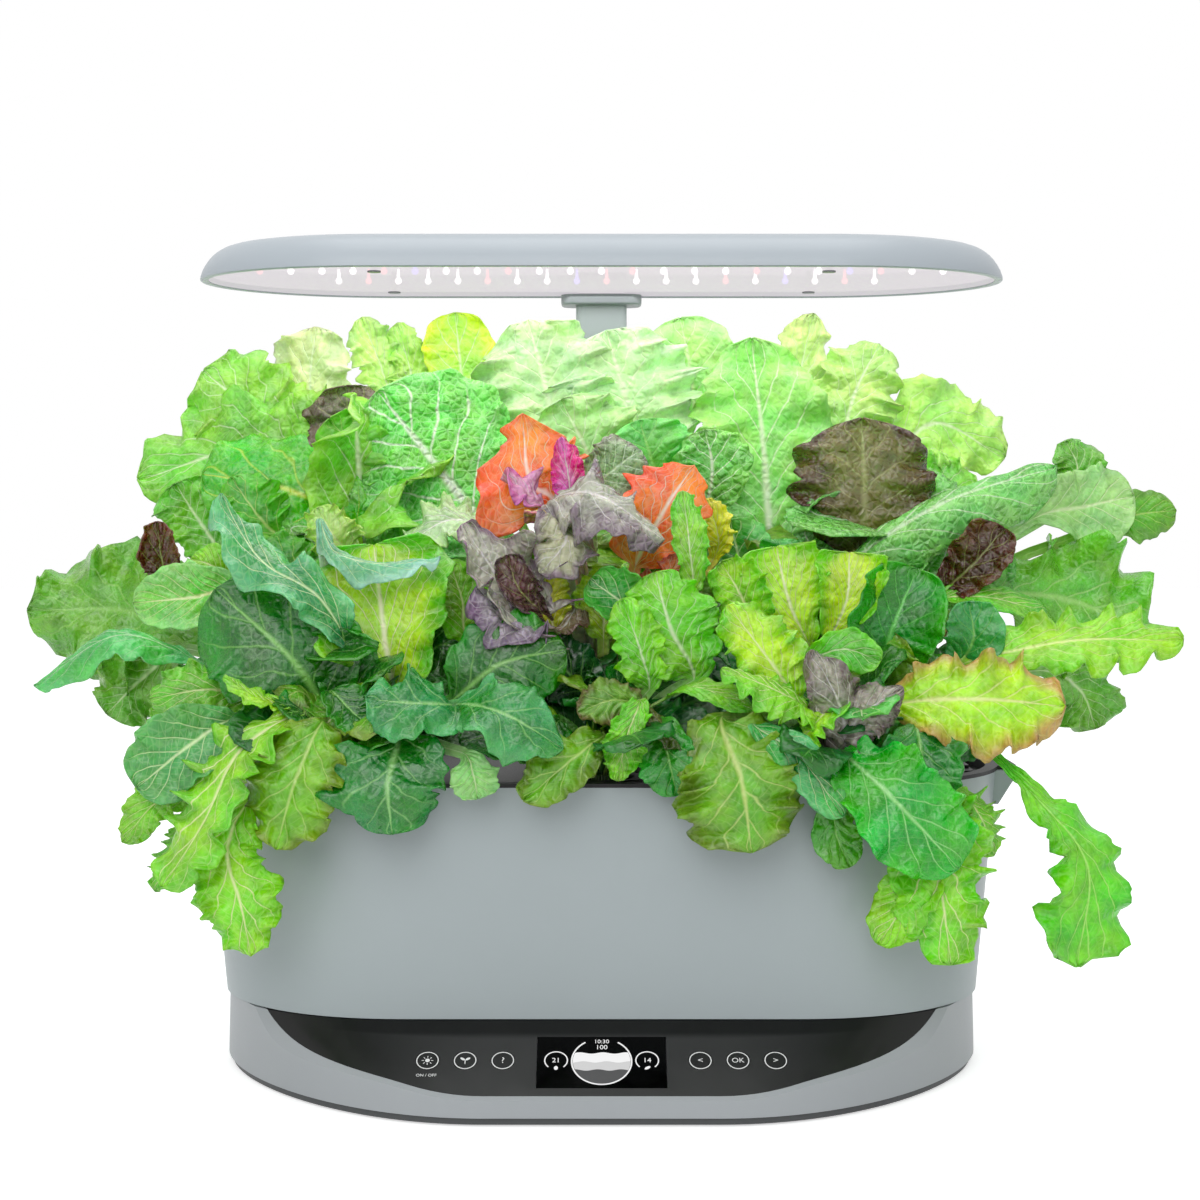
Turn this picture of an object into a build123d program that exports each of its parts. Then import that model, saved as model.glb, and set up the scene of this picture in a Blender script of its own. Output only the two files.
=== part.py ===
"""Countertop hydroponic garden: a water bowl with nine plant pods on a powered base, under a grow lamp
that slides up on a telescoping mast.

Units are millimetres. The origin is the centre of the base's footprint on the counter, +Z is up, the
control panel faces -Y, and +X is to the right of someone who stands in front of it.
"""
import os
from math import cos, radians, sin, tan

from build123d import *

# ---------------------------------------------------------------- driving dimensions
wall = 2.5                     # moulded plastic wall
seat_gap = 0.3                 # side clearance where one moulding drops into another

# Base
foot_height = 1.0              # how far the rubber feet stand out below the pan
skirt_top = 4.7                # top of the dark skirt, bottom of the grey housing
base_top = 41.0
base_half_width = 204.0
base_half_depth = 136.0
base_flat = 58.0               # half the straight run of the base's front and back edges
base_pull = (0.53, 0.40)       # how far the corner curve is drawn out along the front and the side
base_draft = 1.0               # how much the housing draws in from bottom to top
skirt_inset = 2.2
pan_rim_height = 3.0           # locating rim of the pan inside the housing

# Sloping control panel
panel_slope = 32.0             # degrees above level
panel_flat = 95.0              # half width of the panel's flat middle
panel_side_spread = (13.0, 3.0)  # how far the slope stands outside the bowl's ends, bottom and top
panel_corner_pull = (0.20, 0.12)
fascia_thickness = 2.0
fascia_lip = 2.6               # grey lip left between the fascia and the outside of the base
fascia_gap = 0.2

# Display and buttons, placed on the slope by their distance down from its top edge
display_width = 64.0
display_height = 33.0
display_drop = 27.7
display_module_depth = 4.0
button_radius = 5.75
button_clearance = 0.25
button_drop = 26.6
button_first = 48.8            # centre line to the nearest button on each side
button_pitch = 18.6
button_travel = 0.6
button_flange_radius = 7.2
button_flange_height = 1.2
switch_size = 6.0
switch_height = 3.0
board_thickness = 1.6
board_length = 196.0
board_height = 30.0

# Bowl
bowl_bottom = 41.5
bowl_rim = 160.0
bowl_middle = -10.3            # depth at which the bowl is widest
bowl_foot_half_width = 203.0   # outline at the bottom
bowl_foot_half_depth = 80.3
bowl_rim_half_width = 213.0    # outline at the rim
bowl_rim_half_depth = 86.7
bowl_flat = 100.0
bowl_pull = (0.62, 0.50)
foot_ring_inset = 8.0          # the ring under the bowl that drops into the base
foot_ring_height = 5.5
foot_ring_width = 4.0
ear_reach = 9.0                # lifting ear beyond the rim at each end
ear_length = 44.0
ear_depth = 18.0

# Grow deck
deck_lip_thickness = 2.0
deck_lip_overhang = 0.6
deck_floor_drop = 5.0          # planting floor below the top of the lip
deck_thickness = 2.0
pod_columns = (-130.0, 0.0, 130.0)
pod_rows = (-62.0, -10.0, 42.0)
pod_hole_radius = 19.0
pod_collar_height = 2.5
pod_collar_width = 2.5

# Pod basket and sponge
basket_flange_radius = 22.0
basket_flange_thickness = 1.6
basket_top_radius = 18.5
basket_foot_radius = 13.0
basket_depth = 56.0
basket_wall = 1.4
basket_slot_width = 6.0
sponge_top_gap = 3.0
sponge_side_gap = 0.6
sponge_floor_gap = 0.1

# Fill port
port_x = 186.0
port_length = 26.0             # along X
port_width = 34.0              # along Y
flap_thickness = 2.0
flap_pin_radius = 1.2
flap_pin_clearance = 0.05
flap_rest_gap = 0.2
hinge_offset = 4.0             # from the pin to the flap's inner edge, so that it swings clear of the ears
hinge_rise = 2.6               # pin above the planting floor

# Pump, float and dock in the bowl
pump_x = -165.0
pump_y = -10.0
pump_radius = 19.0
pump_height = 26.0
impeller_radius = 9.0
impeller_height = 8.0
shaft_radius = 1.5
shaft_clearance = 0.05
outlet_radius = 4.0
float_x = 65.0                 # between two baskets, so that it can rise past them
float_y = 54.0
float_radius = 10.0
float_height = 12.0
float_post_radius = 2.5
float_travel = 60.0
dock_x = -110.0
dock_y = 30.0
dock_length = 26.0
dock_width = 12.0

# Mast
mast_y = 94.0                  # depth of the mast's centre line
mast_corner = 4.0
column_size = (44.0, 30.0)
middle_size = (36.0, 23.0)
upper_size = (29.7, 17.0)
column_wall = 2.2
middle_wall = 1.8
upper_wall = 1.6
column_top = 248.0
middle_top = 260.0
stage_travel = 170.0
guide_height = 12.0
guide_lip = 3.0
slide_clearance = 0.1

# Lamp hood
hood_bottom = 423.5
hood_height = 22.5
hood_half_width = 221.0
hood_front = -56.0
hood_back = 104.0
hood_flat = 120.0
hood_edge_radius = 9.0
hood_wall = 2.5
lens_thickness = 2.5
lens_inset = 3.2
lens_recess = 0.8
lens_ledge = 2.5
led_board_height = 12.5        # underside of the board above the hood's rim
led_board_thickness = 1.6
led_size = (3.0, 3.0, 0.8)
led_rows = (-36.0, 12.0, 60.0)
led_pitch = 17.0
led_half_counts = (9, 11, 9)
collar_size = (47.0, 26.0)
collar_height = 6.0
tongue_size = (24.0, 10.0)
tongue_height = 16.0

# Plants
leaf_thickness = 2.4
crown_radius = 8.0
crown_height = 26.0

# ---------------------------------------------------------------- derived places
bowl_foot_front = bowl_middle - bowl_foot_half_depth
slope_rise = base_top - skirt_top
slope_run = slope_rise / tan(radians(panel_slope))
slope_top_front = bowl_foot_front - 2 * seat_gap
ring_floor = bowl_bottom - foot_ring_height
deck_lip_top = bowl_rim + deck_lip_thickness
deck_floor = deck_lip_top - deck_floor_drop
pod_seat = deck_floor + pod_collar_height
basket_top = pod_seat + basket_flange_thickness
crown_base = basket_top - sponge_top_gap
hinge_x = port_x - port_length / 2 - hinge_offset
hinge_z = deck_floor + hinge_rise
hood_middle = (hood_front + hood_back) / 2
hood_top = hood_bottom + hood_height
panel = Plane(
    origin=(0, slope_top_front, base_top),
    x_dir=(1, 0, 0),
    z_dir=(0, -sin(radians(panel_slope)), cos(radians(panel_slope))),
)
button_places = [side * (button_first + step * button_pitch) for side in (-1, 1) for step in range(3)]
pod_places = [(x, y) for y in pod_rows for x in pod_columns]

os.makedirs("parts", exist_ok=True)


def save(piece, name):
    """Label a finished piece and write it to its own file."""
    piece.part.label = name
    export_step(piece.part, f"parts/{name}.step")


def oval(half_width, front, middle, back, flat, pull=(0.5523, 0.5523)):
    """Draw a closed outline: straight front and back edges joined at each end by a smooth curve."""
    reach = half_width - flat
    for side in (-1, 1):
        for edge in (front, back):
            Bezier(
                (side * flat, edge),
                (side * (flat + pull[0] * reach), edge),
                (side * half_width, middle + pull[1] * (edge - middle)),
                (side * half_width, middle),
            )
    Line((-flat, front), (flat, front))
    Line((-flat, back), (flat, back))


def base_form(inset=0.0):
    """The base's outside form with upright, slightly drafted walls, drawn in by an inset."""
    with BuildPart() as form:
        for height, draft in ((skirt_top, 0), (base_top, base_draft)):
            shrink = inset + draft
            with BuildSketch(Plane.XY.offset(height)):
                with BuildLine():
                    depth = base_half_depth - shrink
                    oval(base_half_width - shrink, -depth, 0, depth, base_flat, base_pull)
                make_face()
        loft(ruled=True)
    return form.part


def slope_form(inset=0.0):
    """The form whose front is the sloping panel surface. It stands clear of the base at the back."""
    with BuildPart() as form:
        for height, run, spread, pull in (
            (skirt_top, slope_run, panel_side_spread[0], panel_corner_pull),
            (base_top, 0, panel_side_spread[1], bowl_pull),
        ):
            with BuildSketch(Plane.XY.offset(height)):
                with BuildLine():
                    half_width = bowl_foot_half_width + spread - 0.6 * inset
                    front = slope_top_front - run + inset
                    oval(half_width, front, bowl_middle, 3 * base_half_depth, panel_flat, pull)
                make_face()
        loft(ruled=True)
    return form.part


def bowl_outline(height, inset):
    """Draw the bowl's outline at a height, drawn in by an inset."""
    share = (height - bowl_bottom) / (bowl_rim - bowl_bottom)
    half_width = bowl_foot_half_width + share * (bowl_rim_half_width - bowl_foot_half_width) - inset
    half_depth = bowl_foot_half_depth + share * (bowl_rim_half_depth - bowl_foot_half_depth) - inset
    oval(half_width, bowl_middle - half_depth, bowl_middle, bowl_middle + half_depth, bowl_flat, bowl_pull)


def hood_outline(inset):
    """Draw the lamp hood's outline, drawn in by an inset."""
    oval(hood_half_width - inset, hood_front + inset, hood_middle, hood_back - inset, hood_flat)


# ---------------------------------------------------------------- base
fascia_run = fascia_thickness / sin(radians(panel_slope))
wall_run = wall / sin(radians(panel_slope))
cavity_ceiling = ring_floor - wall
back_ceiling = base_top - wall
column_hole = (column_size[0] + 2 * seat_gap, column_size[1] + 2 * seat_gap)
flange_size = (column_size[0] + 20, column_size[1] + 16)
flange_thickness = 3.0
column_screw_places = [(x, mast_y + y) for x in (-27.0, 27.0) for y in (-8.0, 8.0)]
pan_screw_places = [(x, y) for x in (-112.0, 112.0) for y in (-84.0, 84.0)] + [(-184.0, 0.0), (184.0, 0.0)]
board_boss_places = [(x, -display_drop + y) for x in (-92.0, 92.0) for y in (-11.0, 11.0)]
socket_x = -70.0
socket_z = 18.0
socket_radius = 5.5

with BuildPart() as front_relief:
    add(base_form(fascia_lip))
    add(slope_form(fascia_run), mode=Mode.SUBTRACT)

with BuildPart() as base_cavity:
    add(base_form(wall))
    add(slope_form(fascia_run + wall_run), mode=Mode.INTERSECT)
    with BuildSketch(Plane.XY.offset(skirt_top)):
        Rectangle(3 * base_half_width, 3 * base_half_depth)
    extrude(amount=cavity_ceiling - skirt_top, mode=Mode.INTERSECT)

with BuildPart() as back_cavity:
    add(base_form(wall))
    with BuildSketch(Plane.XY.offset(cavity_ceiling - 1)):
        with Locations((0, mast_y)):
            Rectangle(2 * pan_screw_places[1][1] + 2, flange_size[1] + 4)
    extrude(amount=back_ceiling - cavity_ceiling + 1, mode=Mode.INTERSECT)

with BuildPart() as base_shell:
    add(base_form())
    add(slope_form(), mode=Mode.INTERSECT)
    add(front_relief.part, mode=Mode.SUBTRACT)
    add(base_cavity.part, mode=Mode.SUBTRACT)
    add(back_cavity.part, mode=Mode.SUBTRACT)
    # Seat for the bowl's foot ring
    with BuildSketch(Plane.XY.offset(ring_floor)):
        with BuildLine():
            bowl_outline(bowl_bottom, foot_ring_inset - seat_gap)
        make_face()
    extrude(amount=base_top - ring_floor, mode=Mode.SUBTRACT)
    # Screw bosses under the top
    with BuildSketch(Plane.XY.offset(cavity_ceiling + 0.5)):
        with Locations(*pan_screw_places):
            Circle(5)
    extrude(amount=-(cavity_ceiling + 0.5 - skirt_top - pan_rim_height))
    with BuildSketch(Plane.XY.offset(skirt_top + pan_rim_height)):
        with Locations(*pan_screw_places):
            Circle(1.5)
    extrude(amount=16, mode=Mode.SUBTRACT)
    # Opening for the mast's column
    with BuildSketch(Plane.XY.offset(base_top)):
        with Locations((0, mast_y)):
            RectangleRounded(*column_hole, mast_corner)
    extrude(amount=-2 * wall, mode=Mode.SUBTRACT)
    with BuildSketch(Plane.XY.offset(back_ceiling)):
        with Locations(*column_screw_places):
            Circle(1.6)
    extrude(amount=wall - 0.8, mode=Mode.SUBTRACT)
    # Openings behind the fascia for the display and the buttons
    with BuildSketch(panel.offset(-fascia_thickness + 0.5)):
        with Locations((0, -display_drop)):
            Rectangle(display_width - 1, display_height - 1)
        with Locations(*[(x, -button_drop) for x in button_places]):
            Circle(button_radius + button_clearance)
    extrude(amount=-(wall + 1), mode=Mode.SUBTRACT)
    # Bosses that carry the control board
    with BuildSketch(panel.offset(-fascia_thickness - wall + 0.3)):
        with Locations(*board_boss_places):
            Circle(3.5)
    board_face = fascia_thickness + wall + button_flange_height + button_travel + switch_height + 0.5
    extrude(amount=-(board_face - fascia_thickness - wall + 0.3))
    with BuildSketch(panel.offset(-board_face)):
        with Locations(*board_boss_places):
            Circle(1.1)
    extrude(amount=5, mode=Mode.SUBTRACT)
    # Power inlet hole in the back wall
    with BuildSketch(Plane.XZ.offset(-base_half_depth + 5)):
        with Locations((socket_x, socket_z)):
            Circle(socket_radius + 0.1)
    extrude(amount=-10, mode=Mode.SUBTRACT)
    # Opening under the bowl for the dock
    with BuildSketch(Plane.XY.offset(ring_floor)):
        with Locations((dock_x, dock_y)):
            RectangleRounded(dock_length + 2 * fascia_gap, dock_width + 2 * fascia_gap, 2)
    extrude(amount=-2 * wall, mode=Mode.SUBTRACT)
save(base_shell, "base_shell")

with BuildPart() as control_fascia:
    add(base_form(fascia_lip + fascia_gap))
    add(slope_form(), mode=Mode.INTERSECT)
    add(slope_form(fascia_run), mode=Mode.SUBTRACT)
    with BuildSketch(panel.offset(1)):
        with Locations((0, -display_drop)):
            Rectangle(display_width + 2 * fascia_gap, display_height + 2 * fascia_gap)
        with Locations(*[(x, -button_drop) for x in button_places]):
            Circle(button_radius + button_clearance)
    extrude(amount=-(fascia_thickness + 2), mode=Mode.SUBTRACT)
save(control_fascia, "control_fascia")

with BuildPart() as display_window:
    with BuildSketch(panel):
        with Locations((0, -display_drop)):
            Rectangle(display_width, display_height)
    extrude(amount=-fascia_thickness)
save(display_window, "display_window")

with BuildPart() as display_module:
    with BuildSketch(panel.offset(-fascia_thickness)):
        with Locations((0, -display_drop)):
            Rectangle(display_width - 2, display_height - 2)
    extrude(amount=-(board_face - fascia_thickness))
save(display_module, "display_module")

with BuildPart() as control_board:
    with BuildSketch(panel.offset(-board_face)):
        with Locations((0, -display_drop)):
            Rectangle(board_length, board_height)
        with Locations(*board_boss_places):
            Circle(1.3, mode=Mode.SUBTRACT)
    extrude(amount=-board_thickness)
save(control_board, "control_board")

with BuildPart() as key_switches:
    with BuildSketch(panel.offset(-board_face)):
        with Locations(*[(x, -button_drop) for x in button_places]):
            Rectangle(switch_size, switch_size)
    extrude(amount=switch_height - 1)
    with BuildSketch(panel.offset(-board_face + switch_height - 1)):
        with Locations(*[(x, -button_drop) for x in button_places]):
            Circle(1.7)
    extrude(amount=1)
save(key_switches, "key_switches")

button_names = ("light", "quick_plant", "tips", "left", "ok", "right")
button_order = sorted(button_places)
for button_name, button_x in zip(button_names, button_order):
    with BuildPart() as button:
        with BuildSketch(panel):
            with Locations((button_x, -button_drop)):
                Circle(button_radius)
        extrude(amount=-(fascia_thickness + wall + 0.1))
        with BuildSketch(panel.offset(-(fascia_thickness + wall + 0.1))):
            with Locations((button_x, -button_drop)):
                Circle(button_flange_radius)
        extrude(amount=-button_flange_height)
        fillet(button.edges().filter_by(GeomType.CIRCLE).group_by(Axis.Z)[-1], 0.4)
    save(button, f"button_{button_name}")

with BuildPart() as pan_rim:
    add(base_form(wall + seat_gap))
    add(slope_form(fascia_run + wall_run + 2 * seat_gap), mode=Mode.INTERSECT)
    add(base_form(2 * wall + seat_gap), mode=Mode.SUBTRACT)
    with BuildSketch(Plane.XY.offset(skirt_top)):
        Rectangle(3 * base_half_width, 3 * base_half_depth)
    extrude(amount=pan_rim_height, mode=Mode.INTERSECT)

with BuildPart() as base_pan:
    for height in (foot_height, skirt_top):
        with BuildSketch(Plane.XY.offset(height)):
            with BuildLine():
                depth = base_half_depth - skirt_inset
                oval(base_half_width - skirt_inset, -depth, 0, depth, base_flat, base_pull)
            make_face()
    loft(ruled=True)
    # Hollow above the floor
    with BuildSketch(Plane.XY.offset(foot_height + wall)):
        with BuildLine():
            inset = 2 * wall + seat_gap
            depth = base_half_depth - inset
            oval(base_half_width - inset, -depth, 0, depth, base_flat, base_pull)
        make_face()
    extrude(amount=skirt_top, mode=Mode.SUBTRACT)
    add(pan_rim.part)
    # Pillars up to the housing's bosses, with counterbored screw holes
    with BuildSketch(Plane.XY.offset(foot_height + wall / 2)):
        with Locations(*pan_screw_places):
            Circle(5)
    extrude(amount=skirt_top + pan_rim_height - foot_height - wall / 2)
    with Locations(*[(x, y, foot_height) for x, y in pan_screw_places]):
        with Locations(Rotation(180, 0, 0)):
            CounterBoreHole(radius=1.8, counter_bore_radius=3.6, counter_bore_depth=2.6, depth=12)
    # Recesses for the feet
    foot_places = [(x, y) for x in (-138.0, 138.0) for y in (-74.0, 74.0)]
    with BuildSketch(Plane.XY.offset(foot_height)):
        with Locations(*foot_places):
            Circle(9.2)
    extrude(amount=1.2, mode=Mode.SUBTRACT)
save(base_pan, "base_pan")

with BuildPart() as rubber_feet:
    with BuildSketch(Plane.XY):
        with Locations(*foot_places):
            Circle(9)
    extrude(amount=foot_height + 1.2)
    chamfer(rubber_feet.edges().group_by(Axis.Z)[0], 0.5)
save(rubber_feet, "rubber_feet")

with BuildPart() as base_screws:
    with BuildSketch(Plane.XY.offset(foot_height + 0.6)):
        with Locations(*pan_screw_places):
            Circle(3.3)
    extrude(amount=2)
    with BuildSketch(Plane.XY.offset(foot_height + 2.6)):
        with Locations(*pan_screw_places):
            Circle(1.45)
    extrude(amount=16)
save(base_screws, "base_screws")

with BuildPart() as power_socket:
    socket_face = base_half_depth - base_draft
    with BuildSketch(Plane.XZ.offset(-socket_face + 0.6)):
        with Locations((socket_x, socket_z)):
            Circle(socket_radius)
    extrude(amount=wall + 1)
    with BuildSketch(Plane.XZ.offset(-socket_face + wall + 1.6)):
        with Locations((socket_x, socket_z)):
            Rectangle(14, 13)
    extrude(amount=10)
    with BuildSketch(Plane.XZ.offset(-socket_face + 0.6)):
        with Locations((socket_x, socket_z)):
            Circle(3.2)
            Circle(1.0, mode=Mode.SUBTRACT)
    extrude(amount=10, mode=Mode.SUBTRACT)
save(power_socket, "power_socket")

with BuildPart() as dock_socket:
    with BuildSketch(Plane.XY.offset(ring_floor)):
        with Locations((dock_x, dock_y)):
            RectangleRounded(dock_length, dock_width, 2)
    extrude(amount=-wall)
    with BuildSketch(Plane.XY.offset(ring_floor - wall)):
        with Locations((dock_x, dock_y)):
            RectangleRounded(dock_length + 6, dock_width + 6, 2)
    extrude(amount=-2)
save(dock_socket, "dock_socket")

# ---------------------------------------------------------------- bowl
with BuildPart() as bowl:
    for height in (bowl_bottom, bowl_rim):
        with BuildSketch(Plane.XY.offset(height)):
            with BuildLine():
                bowl_outline(height, 0)
            make_face()
    loft(ruled=True)
    # Lifting ears that flare out below the rim at each end
    for side in (-1, 1):
        with BuildSketch(Plane.XZ.offset(-bowl_middle + ear_length / 2)):
            with BuildLine():
                Polyline(
                    (side * (bowl_rim_half_width - 12), bowl_rim),
                    (side * (bowl_rim_half_width + ear_reach), bowl_rim),
                    (side * (bowl_rim_half_width + ear_reach - 1), bowl_rim - 2),
                    (side * (bowl_rim_half_width - 2), bowl_rim - ear_depth),
                    (side * (bowl_rim_half_width - 12), bowl_rim - ear_depth),
                    close=True,
                )
            make_face()
        extrude(amount=-ear_length)
    for height in (bowl_bottom + wall, bowl_rim):
        with BuildSketch(Plane.XY.offset(height)):
            with BuildLine():
                bowl_outline(height, wall)
            make_face()
    loft(ruled=True, mode=Mode.SUBTRACT)
    # Foot ring
    with BuildSketch(Plane.XY.offset(bowl_bottom)):
        with BuildLine():
            bowl_outline(bowl_bottom, foot_ring_inset)
        make_face()
        with BuildLine():
            bowl_outline(bowl_bottom, foot_ring_inset + foot_ring_width)
        make_face(mode=Mode.SUBTRACT)
    extrude(amount=-foot_ring_height)
    # Post that guides the level float
    with BuildSketch(Plane.XY.offset(bowl_bottom + wall)):
        with Locations((float_x, float_y)):
            Circle(float_post_radius)
    extrude(amount=float_travel + float_height + 10)
save(bowl, "bowl")

with BuildPart() as dock_plug:
    with BuildSketch(Plane.XY.offset(bowl_bottom)):
        with Locations((dock_x, dock_y)):
            RectangleRounded(dock_length - 4, dock_width - 2, 2)
    extrude(amount=-foot_ring_height)
save(dock_plug, "dock_plug")

bowl_floor = bowl_bottom + wall
with BuildPart() as pump_body:
    with BuildSketch(Plane.XY.offset(bowl_floor)):
        with Locations((pump_x, pump_y)):
            Circle(pump_radius)
    extrude(amount=pump_height)
    fillet(pump_body.edges().group_by(Axis.Z)[-1], 3)
    # Impeller chamber with a spindle, open to the inlet at the top
    with BuildSketch(Plane.XY.offset(bowl_floor + 6)):
        with Locations((pump_x, pump_y)):
            Circle(impeller_radius + 1)
            Circle(shaft_radius, mode=Mode.SUBTRACT)
    extrude(amount=impeller_height + 2, mode=Mode.SUBTRACT)
    with BuildSketch(Plane.XY.offset(bowl_floor + impeller_height + 8)):
        with Locations((pump_x, pump_y)):
            Circle(5)
    extrude(amount=pump_height, mode=Mode.SUBTRACT)
    # Outlet stub towards the riser
    with BuildSketch(Plane.XZ.offset(-(pump_y + pump_radius - 3))):
        with Locations((pump_x, bowl_floor + 11)):
            Circle(outlet_radius)
            Circle(outlet_radius - 1.2, mode=Mode.SUBTRACT)
    extrude(amount=-11)
save(pump_body, "pump_body")

with BuildPart() as pump_impeller:
    with BuildSketch(Plane.XY.offset(bowl_floor + 7)):
        with Locations((pump_x, pump_y)):
            Circle(3.5)
            with PolarLocations(0, 4):
                with Locations((5.5, 0)):
                    Rectangle(6, 1.2)
            Circle(shaft_radius + shaft_clearance, mode=Mode.SUBTRACT)
    extrude(amount=impeller_height)
save(pump_impeller, "pump_impeller")

with BuildPart() as pump_filter:
    with BuildSketch(Plane.XY.offset(bowl_floor + pump_height)):
        with Locations((pump_x, pump_y)):
            Circle(pump_radius - 3.5)
    extrude(amount=9)
save(pump_filter, "pump_filter")

riser_y = pump_y + pump_radius + 8 + outlet_radius
with BuildPart() as pump_riser:
    with BuildSketch(Plane.XY.offset(bowl_floor)):
        with Locations((pump_x, riser_y)):
            Circle(outlet_radius)
            Circle(outlet_radius - 1.2, mode=Mode.SUBTRACT)
    extrude(amount=deck_floor - deck_thickness - 4 - bowl_floor)
save(pump_riser, "pump_riser")

with BuildPart() as level_float:
    with BuildSketch(Plane.XY.offset(bowl_floor)):
        with Locations((float_x, float_y)):
            Circle(float_radius)
            Circle(float_post_radius + 0.4, mode=Mode.SUBTRACT)
    extrude(amount=float_height)
    fillet(level_float.edges().filter_by(GeomType.CIRCLE).group_by(SortBy.RADIUS)[-1], 2)
save(level_float, "level_float")

# ---------------------------------------------------------------- grow deck
with BuildPart() as grow_deck:
    # Lip that lies on the bowl's rim, with a finger tab over each ear
    with BuildSketch(Plane.XY.offset(bowl_rim)):
        with BuildLine():
            bowl_outline(bowl_rim, -deck_lip_overhang)
        make_face()
        with Locations((-bowl_rim_half_width, bowl_middle), (bowl_rim_half_width, bowl_middle)):
            RectangleRounded(2 * ear_reach, ear_length - 8, 5)
    extrude(amount=deck_lip_thickness)
    # Body that hangs inside the bowl
    with BuildSketch(Plane.XY.offset(deck_floor - deck_thickness)):
        with BuildLine():
            bowl_outline(bowl_rim, wall + 1.5)
        make_face()
    extrude(amount=bowl_rim - deck_floor + deck_thickness)
    with BuildSketch(Plane.XY.offset(deck_floor)):
        with BuildLine():
            bowl_outline(bowl_rim, wall + 3.5)
        make_face()
    extrude(amount=deck_floor_drop, mode=Mode.SUBTRACT)
    # Raised collars and holes for the pods
    with BuildSketch(Plane.XY.offset(deck_floor)):
        with Locations(*pod_places):
            Circle(pod_hole_radius + pod_collar_width)
    extrude(amount=pod_collar_height)
    with BuildSketch(Plane.XY.offset(pod_seat)):
        with Locations(*pod_places):
            Circle(pod_hole_radius)
    extrude(amount=-12, mode=Mode.SUBTRACT)
    # Fill port with two hinge ears on its inner side
    with BuildSketch(Plane.XY.offset(deck_floor)):
        with Locations((port_x, bowl_middle)):
            Rectangle(port_length - 6, port_width - 6)
    extrude(amount=-2 * deck_thickness, mode=Mode.SUBTRACT)
    with BuildSketch(Plane.XY.offset(deck_floor)):
        with Locations((hinge_x, bowl_middle - port_width / 2 + 2), (hinge_x, bowl_middle + port_width / 2 - 2)):
            Rectangle(5, 4)
    extrude(amount=5.2)
    with BuildSketch(Plane.XZ.offset(-bowl_middle - port_width / 2 - 1)):
        with Locations((hinge_x, hinge_z)):
            Circle(flap_pin_radius + 0.02)
    extrude(amount=port_width + 2, mode=Mode.SUBTRACT)
save(grow_deck, "grow_deck")

with BuildPart() as fill_flap:
    knuckle_length = port_width - 8 - 2 * seat_gap
    with BuildSketch(Plane.XY.offset(deck_floor + flap_rest_gap)):
        with Locations((port_x, bowl_middle)):
            RectangleRounded(port_length, port_width, 3)
    extrude(amount=flap_thickness)
    with BuildSketch(Plane.XZ.offset(-bowl_middle - knuckle_length / 2)):
        with Locations((hinge_x, hinge_z)):
            Circle(2.3)
        with Locations((hinge_x + hinge_offset / 2 + 0.5, deck_floor + flap_rest_gap + flap_thickness / 2)):
            Rectangle(hinge_offset + 1, flap_thickness)
    extrude(amount=knuckle_length)
    with BuildSketch(Plane.XZ.offset(-bowl_middle - port_width / 2)):
        with Locations((hinge_x, hinge_z)):
            Circle(flap_pin_radius + flap_pin_clearance)
    extrude(amount=port_width, mode=Mode.SUBTRACT)
    # Finger lip on the free edge
    with BuildSketch(Plane.XY.offset(deck_floor + flap_rest_gap + flap_thickness)):
        with Locations((port_x + port_length / 2 - 2, bowl_middle)):
            RectangleRounded(2.4, 14, 1.1)
    extrude(amount=1.6)
save(fill_flap, "fill_flap")

with BuildPart() as flap_pin:
    with BuildSketch(Plane.XZ.offset(-bowl_middle - port_width / 2)):
        with Locations((hinge_x, hinge_z)):
            Circle(flap_pin_radius)
    extrude(amount=port_width)
save(flap_pin, "flap_pin")

# ---------------------------------------------------------------- pods
for number, (pod_x, pod_y) in enumerate(pod_places, start=1):
    with BuildPart() as pod_basket:
        with BuildSketch(Plane(origin=(pod_x, pod_y, 0), x_dir=(1, 0, 0), z_dir=(0, -1, 0))):
            with BuildLine():
                Polyline(
                    (0, basket_top - basket_depth),
                    (basket_foot_radius, basket_top - basket_depth),
                    (basket_top_radius, pod_seat),
                    (basket_flange_radius, pod_seat),
                    (basket_flange_radius, basket_top),
                    (basket_top_radius - basket_wall, basket_top),
                    (basket_foot_radius - basket_wall, basket_top - basket_depth + basket_wall),
                    (0, basket_top - basket_depth + basket_wall),
                    close=True,
                )
            make_face()
        revolve(axis=Axis((pod_x, pod_y, 0), (0, 0, 1)))
        # Root slots through the lower wall
        with BuildSketch(Plane.XY.offset(basket_top - basket_depth + 8)):
            with Locations((pod_x, pod_y)):
                Rectangle(3 * basket_top_radius, basket_slot_width)
                Rectangle(basket_slot_width, 3 * basket_top_radius)
        extrude(amount=basket_depth / 2, mode=Mode.SUBTRACT)
        # Tapered sponge that stands on the basket's floor
        with BuildSketch(Plane.XY.offset(basket_top - basket_depth + basket_wall + sponge_floor_gap)):
            with Locations((pod_x, pod_y)):
                Circle(basket_foot_radius - basket_wall - sponge_side_gap)
        with BuildSketch(Plane.XY.offset(crown_base)):
            with Locations((pod_x, pod_y)):
                Circle(basket_top_radius - basket_wall - sponge_side_gap)
        loft()
    save(pod_basket, f"pod_basket_{number}")

# ---------------------------------------------------------------- mast
def mast_tube(bottom, top, size, thickness):
    """A rounded rectangular tube on the mast's centre line."""
    with BuildPart() as tube:
        with BuildSketch(Plane.XY.offset(bottom)):
            with Locations((0, mast_y)):
                RectangleRounded(*size, mast_corner)
                hollow = (size[0] - 2 * thickness, size[1] - 2 * thickness)
                RectangleRounded(*hollow, mast_corner - 1, mode=Mode.SUBTRACT)
        extrude(amount=top - bottom)
    return tube.part


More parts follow.
